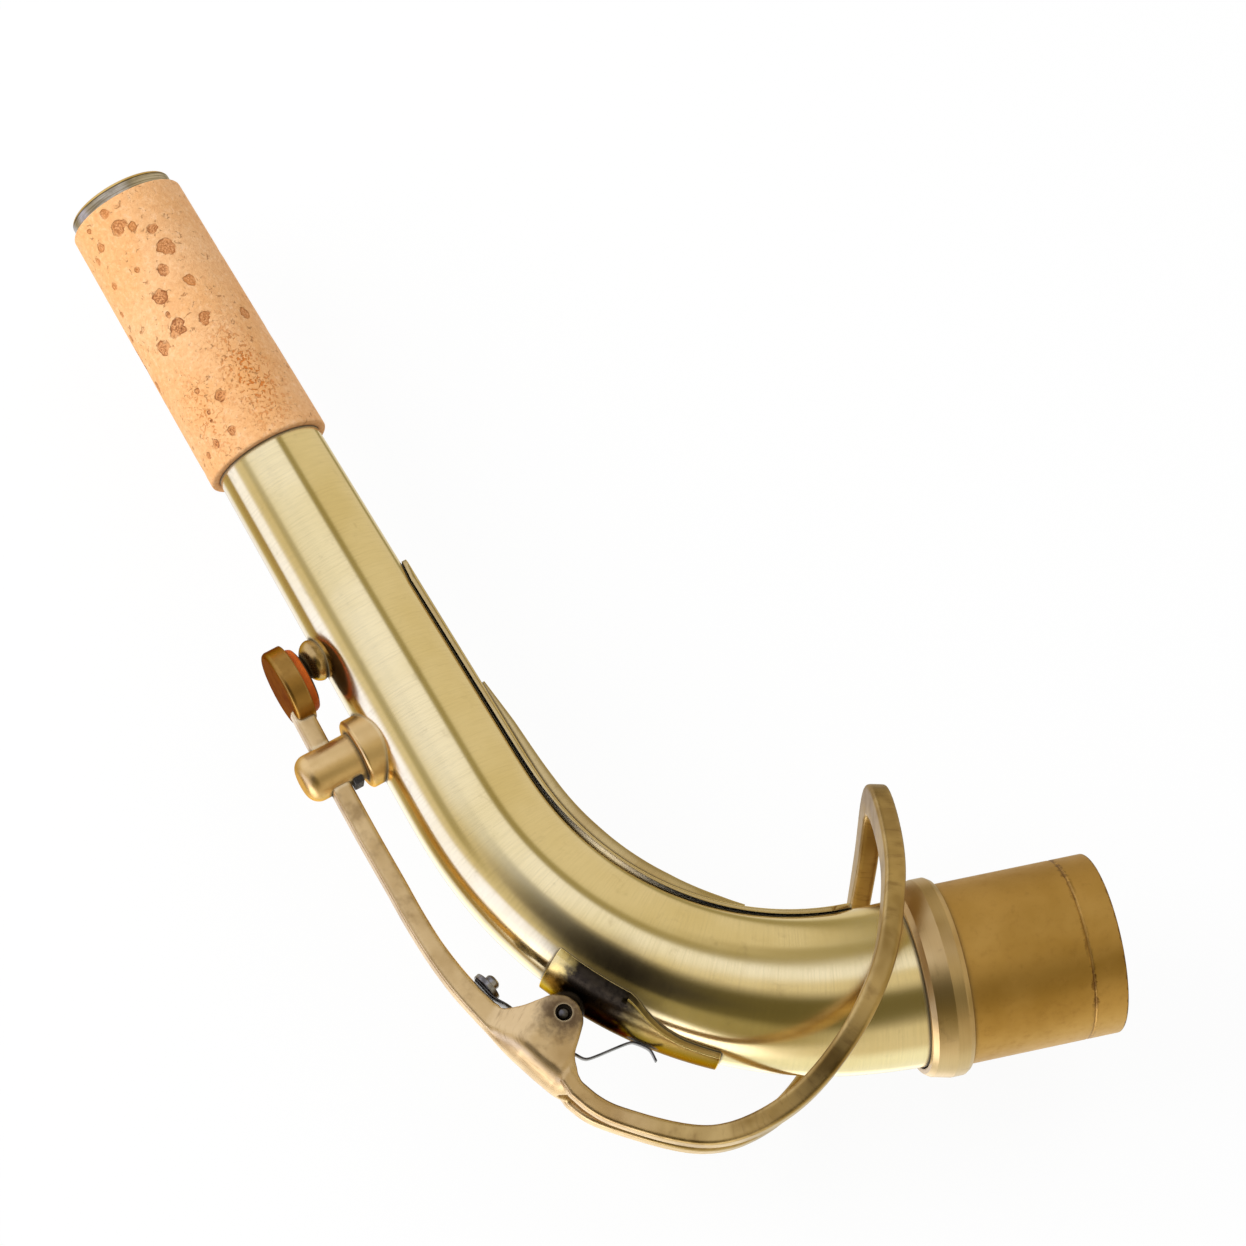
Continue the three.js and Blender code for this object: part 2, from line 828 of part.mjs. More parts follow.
// Path of the ring: out of one root, round the tube and back into the other root. It sits
// slightly askew, with its near side set a little further out than its far side.
function ringCurve() {
  const runShares = [0, -0.077, -0.142, -0.311, -0.272, -0.097, 0.18, 0.528, 0.792, 1];
  const dropShares = [0, 0.039, 0.093, 0.323, 0.51, 0.68, 0.822, 0.92, 0.973, 1];
  const widthShares = [0.186, 0.174, 0.168, 0.24, 0.587, 0.898, 1, 0.85, 0.485, 0];
  const root = new THREE.Vector3(-yokeAft, ringRootHeight, 0).applyMatrix4(pivotFrame);
  const half = runShares.map(
    (run, i) =>
      new THREE.Vector3(
        root.x + ringReach * run,
        -ringHalfWidth * widthShares[i],
        root.z - ringDrop * dropShares[i],
      ),
  );
  const mirrored = half
    .slice(0, -1)
    .reverse()
    .map((point) => new THREE.Vector3(point.x, -point.y, point.z));
  const aside = new THREE.Vector3(ringDrop, 0, ringReach).setLength(ringSkewShare);
  const path = [...half, ...mirrored].map((point) =>
    point.addScaledVector(aside, point.y * ringSettle(point, root)),
  );
  return new THREE.CatmullRomCurve3(path, false, "centripetal");
}

// Share of the ring's skew at a point: none at the roots, the most in the arc, less at the loop
function ringSettle(point, root) {
  const skewShares = [[0, 0], [0.09, 1], [0.32, 1], [0.7, 0.4], [1, 0.4]];
  return readShares(skewShares, Math.min(1, (root.z - point.z) / ringDrop));
}

// Octave ring: a flat bar that widens from its roots towards the loop
function octaveRing() {
  const curve = ringCurve();
  const steps = 56;
  const apexShare = 0.44;
  const rings = [];
  for (let i = 0; i <= steps; i++) {
    const share = i / steps;
    const tangent = curve.getTangentAt(share);
    const mirrored = share > 1 / 2 ? 1 - share : share;
    const sideView = curve.getTangentAt(Math.min(mirrored, apexShare)).setY(0).normalize();
    const axial = new THREE.Vector3(sideView.z, 0, -sideView.x);
    const radial = new THREE.Vector3().crossVectors(tangent, axial).normalize();
    const loopShare = Math.min(1, mirrored / apexShare);
    const halfRadial = (ringRadialRoot + (ringRadialLoop - ringRadialRoot) * loopShare) / 2;
    const rootShare = Math.max(0, 1 - 3 * loopShare);
    const halfAxial = (ringAxialLoop + (ringAxialRoot - ringAxialLoop) * rootShare) / 2;
    const centre = curve.getPointAt(share);
    rings.push(barSection(centre, axial, halfAxial, radial, halfRadial, ringEdge));
  }
  const rootCutter = block(
    new THREE.Vector3(-yokeAft - seatGap, 0, -yokeWidth),
    new THREE.Vector3(yokeFore, 2 * yokeCrown, yokeWidth),
    pivotFrame,
  );
  return solidOf(skin(rings, false)).subtract(rootCutter);
}

// Where the spring's screw enters the arm: a frame whose Y axis points at the tube
function springScrewSeat() {
  const curve = armCurve();
  const share = springScrewInset / curve.getLength();
  const along = curve.getTangentAt(share);
  const across = new THREE.Vector3(0, 1, 0);
  const inward = new THREE.Vector3().crossVectors(across, along);
  const seat = curve.getPointAt(share).addScaledVector(inward, armThicknessAt(share) / 2);
  const frame = new THREE.Matrix4().makeBasis(along, inward, across.negate());
  return { frame: frame.setPosition(seat), along, inward, seat };
}

// Leaf spring: flat on the arm, past the pivot, kinked down to the saddle plate and curled away
function springPath() {
  const { along, inward, seat } = springScrewSeat();
  const lift = seatGap + springThickness / 2;
  const onArm = (run) => seat.clone().addScaledVector(along, run).addScaledVector(inward, lift);
  const inKey = (x, y) => new THREE.Vector3(x, y, 0).applyMatrix4(pivotFrame);
  const rest = saddleThickness + 2 * seatGap + springThickness / 2;
  const onPlate = (share, rise) => {
    const station = pivotStation + (saddleAft - pivotStation) * share;
    return pointAt(station, tubeRadius(station) + rest + rise, 0);
  };
  return [
    onArm(springTail),
    onArm(0),
    onArm(-springTail),
    inKey(springKink * 1.2, springRise * 0.83),
    inKey(springKink * 0.45, springRise),
    inKey(-springKink * 0.7, springRise * 1.16),
    inKey(-springKink, springRise * 1.12),
    onPlate(0.45, 0),
    onPlate(0.57, 0),
    onPlate(0.63, springCurl),
  ];
}

function leafSpring() {
  const curve = new THREE.CatmullRomCurve3(springPath(), false, "centripetal");
  const side = new THREE.Vector3(0, 1, 0);
  const steps = 40;
  const headShares = [[0, 1], [0.17, 1], [0.26, 0], [1, 0]];
  const rings = [];
  for (let i = 0; i <= steps; i++) {
    const centre = curve.getPointAt(i / steps);
    const headShare = readShares(headShares, i / steps);
    const width = springWidth + (springHeadWidth - springWidth) * headShare;
    const thick = new THREE.Vector3().crossVectors(curve.getTangentAt(i / steps), side);
    rings.push(
      [[1, 1], [-1, 1], [-1, -1], [1, -1]].map(([a, b]) =>
        centre
          .clone()
          .addScaledVector(thick, (a * springThickness) / 2)
          .addScaledVector(side, (b * width) / 2),
      ),
    );
  }
  const { frame } = springScrewSeat();
  const hole = rod(screwShankRadius + screwGap, -cutOverrun, cutOverrun, frame);
  return solidOf(skin(rings, false)).subtract(hole);
}

// Washer between the spring and the head of its screw
function springWasher() {
  const low = springThickness + 2 * seatGap;
  const bore = screwShankRadius + screwGap;
  return turnedRing(
    [
      [bore, low],
      [washerRadius, low],
      [washerRadius, low + washerThickness],
      [bore, low + washerThickness],
    ],
    springScrewSeat().frame,
    facetsSmall,
  );
}

// Screw that holds the spring to the arm
function springScrew() {
  const low = springThickness + washerThickness + 3 * seatGap;
  const high = low + screwHeadHeight;
  const { frame } = springScrewSeat();
  const screw = turned(
    [
      [0, -screwGrip],
      [screwShankRadius, -screwGrip],
      [screwShankRadius, low],
      [screwHeadRadius, low],
      [screwHeadRadius, high - pivotSlotDepth],
      [screwHeadRadius - pivotSlotDepth, high],
      [0, high],
    ],
    frame,
  );
  const reach = screwHeadRadius + cutOverrun;
  const slot = block(
    new THREE.Vector3(-reach, high - pivotSlotDepth, -pivotSlotWidth / 2),
    new THREE.Vector3(reach, high + cutOverrun, pivotSlotWidth / 2),
    frame,
  );
  return screw.subtract(slot);
}

// Plate of the brace, with rounded ends
function bracePlate() {
  const roundShares = [[0, 0.3], [0.012, 0.7], [0.035, 1], [0.965, 1], [0.988, 0.7], [1, 0.3]];
  const evenShares = [[0, 1], [1, 1]];
  return strip(
    braceFore,
    braceAft,
    seatGap,
    braceThickness,
    braceHalfWidth,
    -1,
    roundShares,
    evenShares,
  );
}

// Rib along the brace, swelling towards the middle of the bend
function braceRib() {
  const widthShares = [[0, 0.35], [0.15, 0.8], [0.35, 1], [0.65, 1], [0.85, 0.8], [1, 0.35]];
  const swellShares = [[0, 0.2], [0.12, 0.62], [0.3, 0.92], [0.5, 1], [0.75, 0.85], [0.92, 0.5], [1, 0.2]];
  return strip(
    ribFore,
    ribAft,
    braceThickness + 2 * seatGap,
    ribHeight,
    ribHalfWidth,
    -1,
    widthShares,
    swellShares,
  );
}

const neck = new THREE.Group();
neck.name = "saxophone_neck";

// Adds one named piece with its finish
function addPiece(name, solid, color, roughness, metalness) {
  const { vertProperties, triVerts } = solid.getMesh();
  const geometry = new THREE.BufferGeometry();
  geometry.setAttribute("position", new THREE.BufferAttribute(vertProperties, 3));
  geometry.setIndex(new THREE.BufferAttribute(triVerts, 1));
  geometry.computeVertexNormals();
  const material = new THREE.MeshStandardMaterial({ color, roughness, metalness });
  const mesh = new THREE.Mesh(geometry, material);
  mesh.name = name;
  neck.add(mesh);
}

addPiece("neck_tube", neckTube(), 0xc8b46e, 0.35, 1);
addPiece("tenon_sleeve", tenonSleeve(), 0xaf8237, 0.5, 1);
addPiece("tenon_collar", tenonCollar(), 0xb4945a, 0.35, 1);
addPiece("neck_cork", neckCork(), 0xeeb482, 0.9, 0);
addPiece("tip_ring", tipRing(), 0x9a8b5c, 0.4, 1);
addPiece("octave_pip", octavePip(), 0x8c6f38, 0.4, 1);
addPiece("guide_base", guideBase(), 0xb4945a, 0.35, 1);
addPiece("key_guide", keyGuide(), 0xc8a868, 0.35, 1);
addPiece("guide_felt", guideFelt(), 0x1a1a1a, 0.95, 0);
addPiece("saddle_plate", saddlePlate(), 0x5a4a24, 0.4, 1);
addPiece("hinge_post", hingePost(), 0x7a6436, 0.4, 1);
addPiece("pivot_screw", pivotScrew(), 0x3a3a3a, 0.3, 1);
addPiece("key_yoke", keyYoke(), 0xaa8750, 0.35, 1);
addPiece("key_arm", keyArm(), 0xaa8750, 0.35, 1);
addPiece("pad_cup", padCup(), 0xb08c58, 0.35, 1);
addPiece("octave_pad", octavePad(), 0xcd5f19, 0.8, 0);
addPiece("octave_ring", octaveRing(), 0xaa8750, 0.35, 1);
addPiece("leaf_spring", leafSpring(), 0x3c3c40, 0.3, 1);
addPiece("spring_washer", springWasher(), 0x2c2c2e, 0.4, 1);
addPiece("spring_screw", springScrew(), 0x2c2c2e, 0.35, 1);
addPiece("brace_plate", bracePlate(), 0xc8b46e, 0.35, 1);
addPiece("brace_rib", braceRib(), 0xb4945a, 0.35, 1);

export default neck;
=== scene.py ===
"""A saxophone neck with its octave key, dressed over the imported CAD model."""

import math
import random
from bisect import bisect_right
from functools import cached_property, lru_cache
from itertools import accumulate

import bpy
from mathutils import Matrix, Vector


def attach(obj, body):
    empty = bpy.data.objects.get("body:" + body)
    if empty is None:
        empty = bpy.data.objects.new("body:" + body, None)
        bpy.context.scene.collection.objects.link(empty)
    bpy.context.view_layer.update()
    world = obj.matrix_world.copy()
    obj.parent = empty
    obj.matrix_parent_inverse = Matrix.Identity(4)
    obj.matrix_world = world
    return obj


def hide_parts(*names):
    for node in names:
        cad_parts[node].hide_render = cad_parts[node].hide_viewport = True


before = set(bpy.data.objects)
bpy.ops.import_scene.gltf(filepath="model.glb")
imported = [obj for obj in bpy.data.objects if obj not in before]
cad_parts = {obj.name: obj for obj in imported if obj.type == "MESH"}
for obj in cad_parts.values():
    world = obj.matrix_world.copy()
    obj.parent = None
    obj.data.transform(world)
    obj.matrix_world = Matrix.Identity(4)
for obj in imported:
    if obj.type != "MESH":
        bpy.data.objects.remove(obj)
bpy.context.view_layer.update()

MM = 0.001
NECK = "neck"
KEY = "octave_key"

# Centreline of the neck
NECK_LENGTH = 169.8
LEAD_LENGTH = 3.4
EASE_LENGTH = 10.8
BEND_RADIUS = 49.8
BEND_ANGLE = math.radians(73)
BEND_LENGTH = BEND_ANGLE * BEND_RADIUS + EASE_LENGTH

# Tube
TUBE_WALL = 0.7
TIP_RADIUS = 6.95
CONE_FOOT_RADIUS = 9.93
FLARE_DEPTH = 1.67
FLARE_LENGTH = 70
FLARE_POWER = 1.5

# Tenon and collar
TENON_RADIUS = 12.2
TENON_WALL = 0.8
TENON_LENGTH = 21.4
TENON_INSERTION = 2.35
GROOVE_FROM_END = 4.6
GROOVE_WIDTH = 0.4
GROOVE_DEPTH = 0.15
COLLAR_RADIUS = 13.4
COLLAR_HEIGHT = 5.6
COLLAR_SEAT_WIDTH = 0.5
COLLAR_LOW_BEVEL = 0.7
COLLAR_CREST_HEIGHT = 2.4
COLLAR_SLOPE_HEIGHT = 4.9
COLLAR_SLOPE_RADIUS = 12.8

# Cork and tip
CORK_LENGTH = 40.8
CORK_FOOT_RADIUS = 8.8
CORK_TIP_RADIUS = 8.25
CORK_EDGE = 0.35
PIT_DEPTH = 0.08
TIP_RING_RADIUS = 7.5
TIP_RING_LENGTH = 2
TIP_RING_REBATE = 0.6
TIP_RING_EDGE = 0.3

# Octave pip and its pad
PIP_STATION = 100.6
PIP_BASE_RADIUS = 2.95
PIP_TOP_RADIUS = 1.7
PIP_HEIGHT = 2.4
PIP_SKIRT = 0.5
PIP_STEM_RADIUS = 1.9
PIP_STEM_DEPTH = 5
PIP_VENT_RADIUS = 0.75
PAD_STATION = 99
PAD_RADIUS = 4.6
PAD_THICKNESS = 2.55
CUP_RADIUS = 5.55
CUP_THICKNESS = 2.7
CUP_RECESS = 1.3
CUP_EDGE = 0.5

# Guide of the key
GUIDE_STATION = 86.3
GUIDE_FOOT_RADIUS = 4.95
GUIDE_FOOT_HEIGHT = 1.95
GUIDE_POST_RADIUS = 3.35
GUIDE_POST_HEIGHT = 8.1
GUIDE_DOME = 1.9
GUIDE_FLOOR = 0.6
GUIDE_SLOT = 3.7
GUIDE_EDGE = 0.16
FELT_THICKNESS = 1.1
FELT_WIDTH = 3.1
FELT_LENGTH = 6.8
FELT_SHIFT = 0.5
FELT_EDGE = 0.18

# Saddle plate and hinge, with the oil that has crept out of it and a painted dark reflection on the tube
# round it
SADDLE_FORE = 50.8
SADDLE_SHOULDER = 40.8
SADDLE_AFT = 29.3
SADDLE_THICKNESS = 0.6
SADDLE_HALF_WIDTH = 7.1
SADDLE_TAIL_HALF_WIDTH = 3.3
SADDLE_EDGE = 0.13
PIVOT_STATION = 46.7
PIVOT_HEIGHT = 3.1
PIVOT_RADIUS = 0.8
PIVOT_POINT = 0.35
POST_WIDTH = 4.7
POST_RADIUS = 1.75
POST_FOOT = 1.4
POST_EDGE = 0.15
OIL_REFLECTION_SHIFT = 3
OIL_REFLECTION_CORE = 6
OIL_REFLECTION_REACH = 13

# Yoke, lever arm and ring
YOKE_WIDTH = 8.8
YOKE_FORE = 8.2
YOKE_AFT = 6.5
YOKE_CROWN = 8.5
YOKE_CROTCH = 1.7
EAR_DROP = 2.2
EAR_GAP = 5.2
SCREW_RECESS = 0.35
RECESS_RADIUS = 1.15
RECESS_DEPTH = 1.1
KEY_EDGE = 0.5
ARM_WIDTH = 3
ARM_THICKNESS = 2.8
ARM_ROOT_THICKNESS = 3.3
ARM_HEIGHT = 5.9
RING_HALF_WIDTH = 16.7
RING_REACH = 30.7
RING_DROP = 48.9
RING_ROOT_HEIGHT = 7.75
RING_SKEW_SHARE = 0.14
RING_RADIAL_ROOT = 2.4
RING_RADIAL_LOOP = 4.4
RING_AXIAL_ROOT = 2.4
RING_AXIAL_LOOP = 2.8
RING_BURIED_LENGTH = 2.2
RING_BURIED_DEPTH = 0.6

# Spring and the screws' slots
SPRING_THICKNESS = 0.25
SPRING_WIDTH = 1.1
SPRING_HEAD_WIDTH = 2.6
SPRING_EDGE = 0.08
SPRING_BEND = 0.3
SPRING_TAIL = 1.7
SPRING_RISE = 2.65
SPRING_KINK = 5.5
SPRING_CURL = 1.2
SPRING_SCREW_INSET = 3.2
SCREW_HEAD_RADIUS = 1.05
SCREW_HEAD_HEIGHT = 0.9
SCREW_HEAD_EDGE = 0.3
WASHER_RADIUS = 2.1
WASHER_THICKNESS = 0.5
SLOT_WIDTH = 0.35
SLOT_DEPTH = 0.3

# Brace on the inside of the bend
BRACE_FORE = 107
BRACE_AFT = 11
BRACE_HALF_WIDTH = 3.5
BRACE_THICKNESS = 0.6
BRACE_EDGE = 0.14
RIB_FORE = 87
RIB_AFT = 29.5
RIB_HALF_WIDTH = 1.9
RIB_HEIGHT = 1.35
RIB_EDGE = 0.25

GAP = 0.25
OVERLAP = 0.05
OVERRUN = 1

# Fineness of the meshes
AROUND_CORK = 200
AROUND_TENON = 144
AROUND = 112
AROUND_SMALL = 64
STEP = 1.1
STRIP_STEP = 0.7
CORK_STEP = 0.3
KEY_VOXEL = 0.16

# Camera of the photograph, in metres and row directions
CAMERA_PLACE = (-0.1173, -0.5774, 0.1286)
CAMERA_RIGHT = Vector((-0.2286, -0.0947, -0.9689))
CAMERA_UP = Vector((0.9309, -0.3125, -0.1891))
CAMERA_VIEW = Vector((0.2849, 0.9452, -0.1596))
CAMERA_LENS = 130
CAMERA_SENSOR = 36


# Centreline and frames


def turn_at(station):
    """Angle between the centreline and the tenon's axis."""
    run = station - LEAD_LENGTH
    left = BEND_LENGTH - run
    if run <= 0:
        return 0.0
    if run < EASE_LENGTH:
        return run * run / EASE_LENGTH / 2 / BEND_RADIUS
    if left > EASE_LENGTH:
        return (run - EASE_LENGTH / 2) / BEND_RADIUS
    if left > 0:
        return BEND_ANGLE - left * left / EASE_LENGTH / 2 / BEND_RADIUS
    return BEND_ANGLE


@lru_cache(maxsize=None)
def axis_at(station):
    """Centreline point at a station, with its direction."""
    steps = 240
    step = station / steps
    x = z = 0.0
    for i in range(steps):
        angle = turn_at((i + 0.5) * step)
        x += math.sin(angle) * step
        z += math.cos(angle) * step
    return x, z, turn_at(station)


def point_at(station, out, side):
    """Point so far out from the centreline and so far to the side."""
    x, z, angle = axis_at(station)
    return Vector((x - math.cos(angle) * out, side, z + math.sin(angle) * out))


def above_tube(start, end, share, lift):
    """Point above the tube's wall, at a share of the way between two stations."""
    station = start + (end - start) * share
    return point_at(station, tube_radius(station) + lift, 0)


def placed(origin, *axes):
    """Frame at a point, with its X, Y and Z axes."""
    return Matrix.Translation(origin) @ Matrix(axes).transposed().to_4x4()


def frame_at(station, out=0):
    """X along the neck, Y outwards, Z to the side, lifted off the centreline."""
    angle = axis_at(station)[2]
    along = Vector((math.sin(angle), 0, math.cos(angle)))
    outward = Vector((-math.cos(angle), 0, math.sin(angle)))
    return placed(point_at(station, out, 0), along, outward, along.cross(outward))


def tube_radius(station):
    cone = CONE_FOOT_RADIUS + (TIP_RADIUS - CONE_FOOT_RADIUS) * station / NECK_LENGTH
    flare_share = max(0.0, 1 - max(0.0, station) / FLARE_LENGTH)
    return cone + FLARE_DEPTH * flare_share**FLARE_POWER


def evenly(steps, whole):
    """Even steps from 0 to the whole, both of them included: angles, runs or shares."""
    return [whole * i / steps for i in range(steps + 1)]


def stations_between(start, end, step=STEP):
    count = max(2, math.ceil(abs(end - start) / step))
    return [start + run for run in evenly(count, end - start)]


GUIDE_TOP = tube_radius(GUIDE_STATION) + GUIDE_FOOT_HEIGHT
PIP_TOP = tube_radius(PIP_STATION) + PIP_HEIGHT
PIVOT_FRAME = frame_at(PIVOT_STATION, tube_radius(PIVOT_STATION) + PIVOT_HEIGHT)
UPRIGHT = Matrix.Rotation(math.pi / 2, 4, "X")
PIVOT_LINE = PIVOT_FRAME @ UPRIGHT
SIDEWAYS = Vector((0, 1, 0))


# Lists and curves


def circle(steps):
    return evenly(steps, math.tau)[:-1]


def box(left, low, right, high):
    return [(left, low), (right, low), (right, high), (left, high)]


def button(radius, low, high, edge):
    """Profile of a turned disc with a bevelled top."""
    return [(0, low), (radius, low), (radius, high - edge), (radius - edge, high), (0, high)]


def read_shares(shares, at):
    """Value read off a list of share pairs by straight lines."""
    for (a, low), (b, high) in zip(shares, shares[1:]):
        if at <= b:
            return low + (high - low) * (at - a) / (b - a)
    return shares[-1][1]


def glide(values, at):
    """Value at a place in a list, along a smooth curve through its entries."""
    i = min(int(at), len(values) - 2)
    t = at - i
    b, c = values[i], values[i + 1]
    a = values[i - 1] if i > 0 else 2 * b - c
    d = values[i + 2] if i + 2 < len(values) else 2 * c - b
    square, cube = t * t, t * t * t
    start = (2 * cube - 3 * square + 1) * b + (cube - 2 * square + t) * ((c - a) / 2)
    return start + (3 * square - 2 * cube) * c + (cube - square) * ((d - b) / 2)


def run_through(points):
    """Length run at each of some points."""
    return list(accumulate(((b - a).length for a, b in zip(points, points[1:])), initial=0.0))


class Path:
    """Centripetal Catmull-Rom curve through points, read by its arc length."""

    def __init__(self, points, fine=60):
        ends = [2 * points[0] - points[1], *points, 2 * points[-1] - points[-2]]
        self.dense = []
        for i in range(len(points) - 1):
            four = ends[i : i + 4]
            knots = [0.0]
            for a, b in zip(four, four[1:]):
                knots.append(knots[-1] + math.sqrt(max((b - a).length, 1e-9)))
            for k in range(fine):
                self.dense.append(self.blend(four, knots, knots[1] + (knots[2] - knots[1]) * k / fine))
        self.dense.append(points[-1].copy())
        self.run = run_through(self.dense)
        self.length = self.run[-1]

    @staticmethod
    def blend(points, knots, at):
        for spans in ((0, 1), (1, 2), (2, 3)), ((0, 2), (1, 3)), ((1, 2),):
            mixed = []
            for (low, high), a, b in zip(spans, points, points[1:]):
                share = (at - knots[low]) / (knots[high] - knots[low])
                mixed.append(a * (1 - share) + b * share)
            points = mixed
        return points[0]

    def at(self, share):
        want = min(max(share, 0.0), 1.0) * self.length
        low = min(bisect_right(self.run, want), len(self.run) - 1) - 1
        span = self.run[low + 1] - self.run[low]
        t = (want - self.run[low]) / span if span else 0.0
        return self.dense[low].lerp(self.dense[low + 1], t)

    def tangent(self, share, reach=1e-3):
        return (self.at(share + reach) - self.at(share - reach)).normalized()


# Mesh building, in millimetres until the piece is finished


def new_object(name, data):
    made = bpy.data.objects.new(name, data)
    bpy.context.scene.collection.objects.link(made)
    return made


def new_piece(name, points, faces, lay=None):
    """Object from points in millimetres, with an optional lay (UV) for each face corner."""
    mesh = bpy.data.meshes.new(name)
    mesh.from_pydata([tuple(point) for point in points], [], faces)
    if lay:
        layer = mesh.uv_layers.new(name="Lay")
        layer.uv.foreach_set("vector", [value for pair in lay for value in pair])
    return new_object(name, mesh)


def loft(name, rings, wrap=False):
    """Skin over rings of equally many points, capped unless it wraps, with its lay in mm."""
    count = len(rings[0])
    girth = sum((rings[0][j] - rings[0][j - 1]).length for j in range(count))
    run = run_through([ring[0] for ring in (*rings, rings[0])])
    faces, lay = [], []
    for i in range(len(rings) if wrap else len(rings) - 1):
        below, above = i * count, (i + 1) % len(rings) * count
        for j in range(count):
            k = (j + 1) % count
            faces.append((below + j, above + j, above + k, below + k))
            u0, u1 = girth * j / count, girth * (j + 1) / count
            lay += [(u0, run[i]), (u0, run[i + 1]), (u1, run[i + 1]), (u1, run[i])]
    if not wrap:
        last = (len(rings) - 1) * count
        faces += [tuple(range(count)), tuple(last + j for j in reversed(range(count)))]
        lay += [(0.0, 0.0)] * (2 * count)
    return new_piece(name, [point for ring in rings for point in ring], faces, lay)


def eased(outline, ease, closed=False, sharp=25):
    """Outline with its sharp corners rounded off."""
    points = [Vector((*pair, 0)) for pair in outline]
    made = []
    for i, here in enumerate(points):
        arrive, leave = here - points[i - 1], points[(i + 1) % len(points)] - here
        straight = min(arrive.length, leave.length) < 1e-9 or arrive.angle(leave) < math.radians(sharp)
        if straight or not closed and i in (0, len(points) - 1):
            made.append(here)
            continue
        back = min(ease, 0.35 * arrive.length, 0.35 * leave.length)
        arrive, leave = arrive.normalized() * back, leave.normalized() * back
        start, end = here - arrive, here + leave
        made.append(start - arrive * 0.3)
        for t in (0, 0.25, 0.5, 0.75, 1):
            made.append(start * (1 - t) ** 2 + here * 2 * t * (1 - t) + end * t * t)
        made.append(end + leave * 0.3)
    return [(point.x, point.y) for point in made]


def turned(name, profile, matrix, around=AROUND_SMALL, closed=False, ease=0.12):
    """Body of revolution round a frame's Y axis from radius and height pairs."""
    rings = []
    for radius, height in eased(profile, ease, closed):
        radius = max(radius, 0.01)
        ring = [Vector((radius * math.cos(phi), height, radius * math.sin(phi))) for phi in circle(around)]
        rings.append([matrix @ point for point in ring])
    return loft(name, rings, closed)


def circle_at(station, radius, around=AROUND):
    return [point_at(station, math.cos(phi) * radius, math.sin(phi) * radius) for phi in circle(around)]


def strip(name, start, end, side, low, high, half_width, widths):
    """Strip bent onto the tube, its heights and widths read off lists along it."""
    across = 20
    rings = []
    for station in stations_between(start, end, STRIP_STEP):
        share = (station - start) / (end - start)
        width = half_width * read_shares(widths, share)
        ring = []
        for heights, order in ((high, 1), (low, -1)):
            radius = tube_radius(station) + read_shares(heights, share)
            for j in range(across + 1):
                y = order * width * (2 * j / across - 1)
                ring.append(point_at(station, side * math.sqrt(radius * radius - y * y), y))
        rings.append(ring)
    return loft(name, rings)


def bar_section(centre, thick, half_thick, wide, half_wide, edge=KEY_EDGE):
    """Rectangle with rounded corners, as a ring of points."""
    ring = []
    for quarter, (a, b) in enumerate(((1, 1), (-1, 1), (-1, -1), (1, -1))):
        for k in range(5):
            phi = math.pi / 2 * (quarter + k / 4)
            t = a * (half_thick - edge) + edge * math.cos(phi)
            w = b * (half_wide - edge) + edge * math.sin(phi)
            ring.append(centre + thick * t + wide * w)
    return ring


def prism(name, outline, width, matrix):
    """Outline in a frame's XY plane, extruded evenly to both sides."""
    return loft(name, [[matrix @ Vector((x, y, z)) for x, y in outline] for z in (-width / 2, width / 2)])


def modify(piece, kind, **settings):
    """Adds a modifier to a piece and applies it to its mesh."""
    modifier = piece.modifiers.new(kind, kind)
    for key, value in settings.items():
        setattr(modifier, key, value)
    depsgraph = bpy.context.evaluated_depsgraph_get()
    piece.data = bpy.data.meshes.new_from_object(piece.evaluated_get(depsgraph), depsgraph=depsgraph)
    piece.modifiers.clear()
    return piece


def cut(piece, *tools):
    """Takes the tools away from a piece, and deletes them."""
    for tool in tools:
        modify(piece, "BOOLEAN", operation="DIFFERENCE", solver="EXACT", object=tool)
        bpy.data.objects.remove(tool)
    return piece


def cut_slot(piece, radius, floor, top, width, matrix):
    """Cuts a slot across the end of a turned piece."""
    reach = radius + OVERRUN
    return cut(piece, prism("slot", box(-reach, floor, reach, top + OVERRUN), width, matrix))


def pivot_rod(radius, low, high):
    """Round rod along the line of the pivot, for cutting."""
    return turned("rod", box(0, low, radius, high), PIVOT_LINE, ease=0)


def bevel(piece, width, segments=3, rim=False):
    """Rounds the sharp edges; a rim has the second material, a lighter brass for rubbed edges and a painted
    highlight along them, and the first is set at the end.
    """
    if rim:
        for _ in range(2):
            piece.data.materials.append(RIM_WEAR_HIGHLIGHT_BRASS)
    limit = {"limit_method": "ANGLE", "angle_limit": math.radians(50)}
    return modify(piece, "BEVEL", width=width, segments=segments, material=1 if rim else -1, **limit)


def finish_piece(piece, body, material, sharp, nodes):
    """Scales a piece to metres, shades it, gives it its material and seats it on its body."""
    piece.data.transform(Matrix.Scale(MM, 4))
    piece.data.shade_smooth()
    piece.data.set_sharp_from_angle(angle=math.radians(sharp))
    if piece.data.materials:
        piece.data.materials[0] = material
    else:
        piece.data.materials.append(material)
    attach(piece, body)
    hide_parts(*nodes)


# Materials, whose colours are three values from 0 to 255


def linear(*colour):
    """Linear colour from the usual 0 to 255 values."""
    shares = [value / 255 for value in colour]
    return (*(c / 12.92 if c <= 0.04045 else ((c + 0.055) / 1.055) ** 2.4 for c in shares), 1.0)


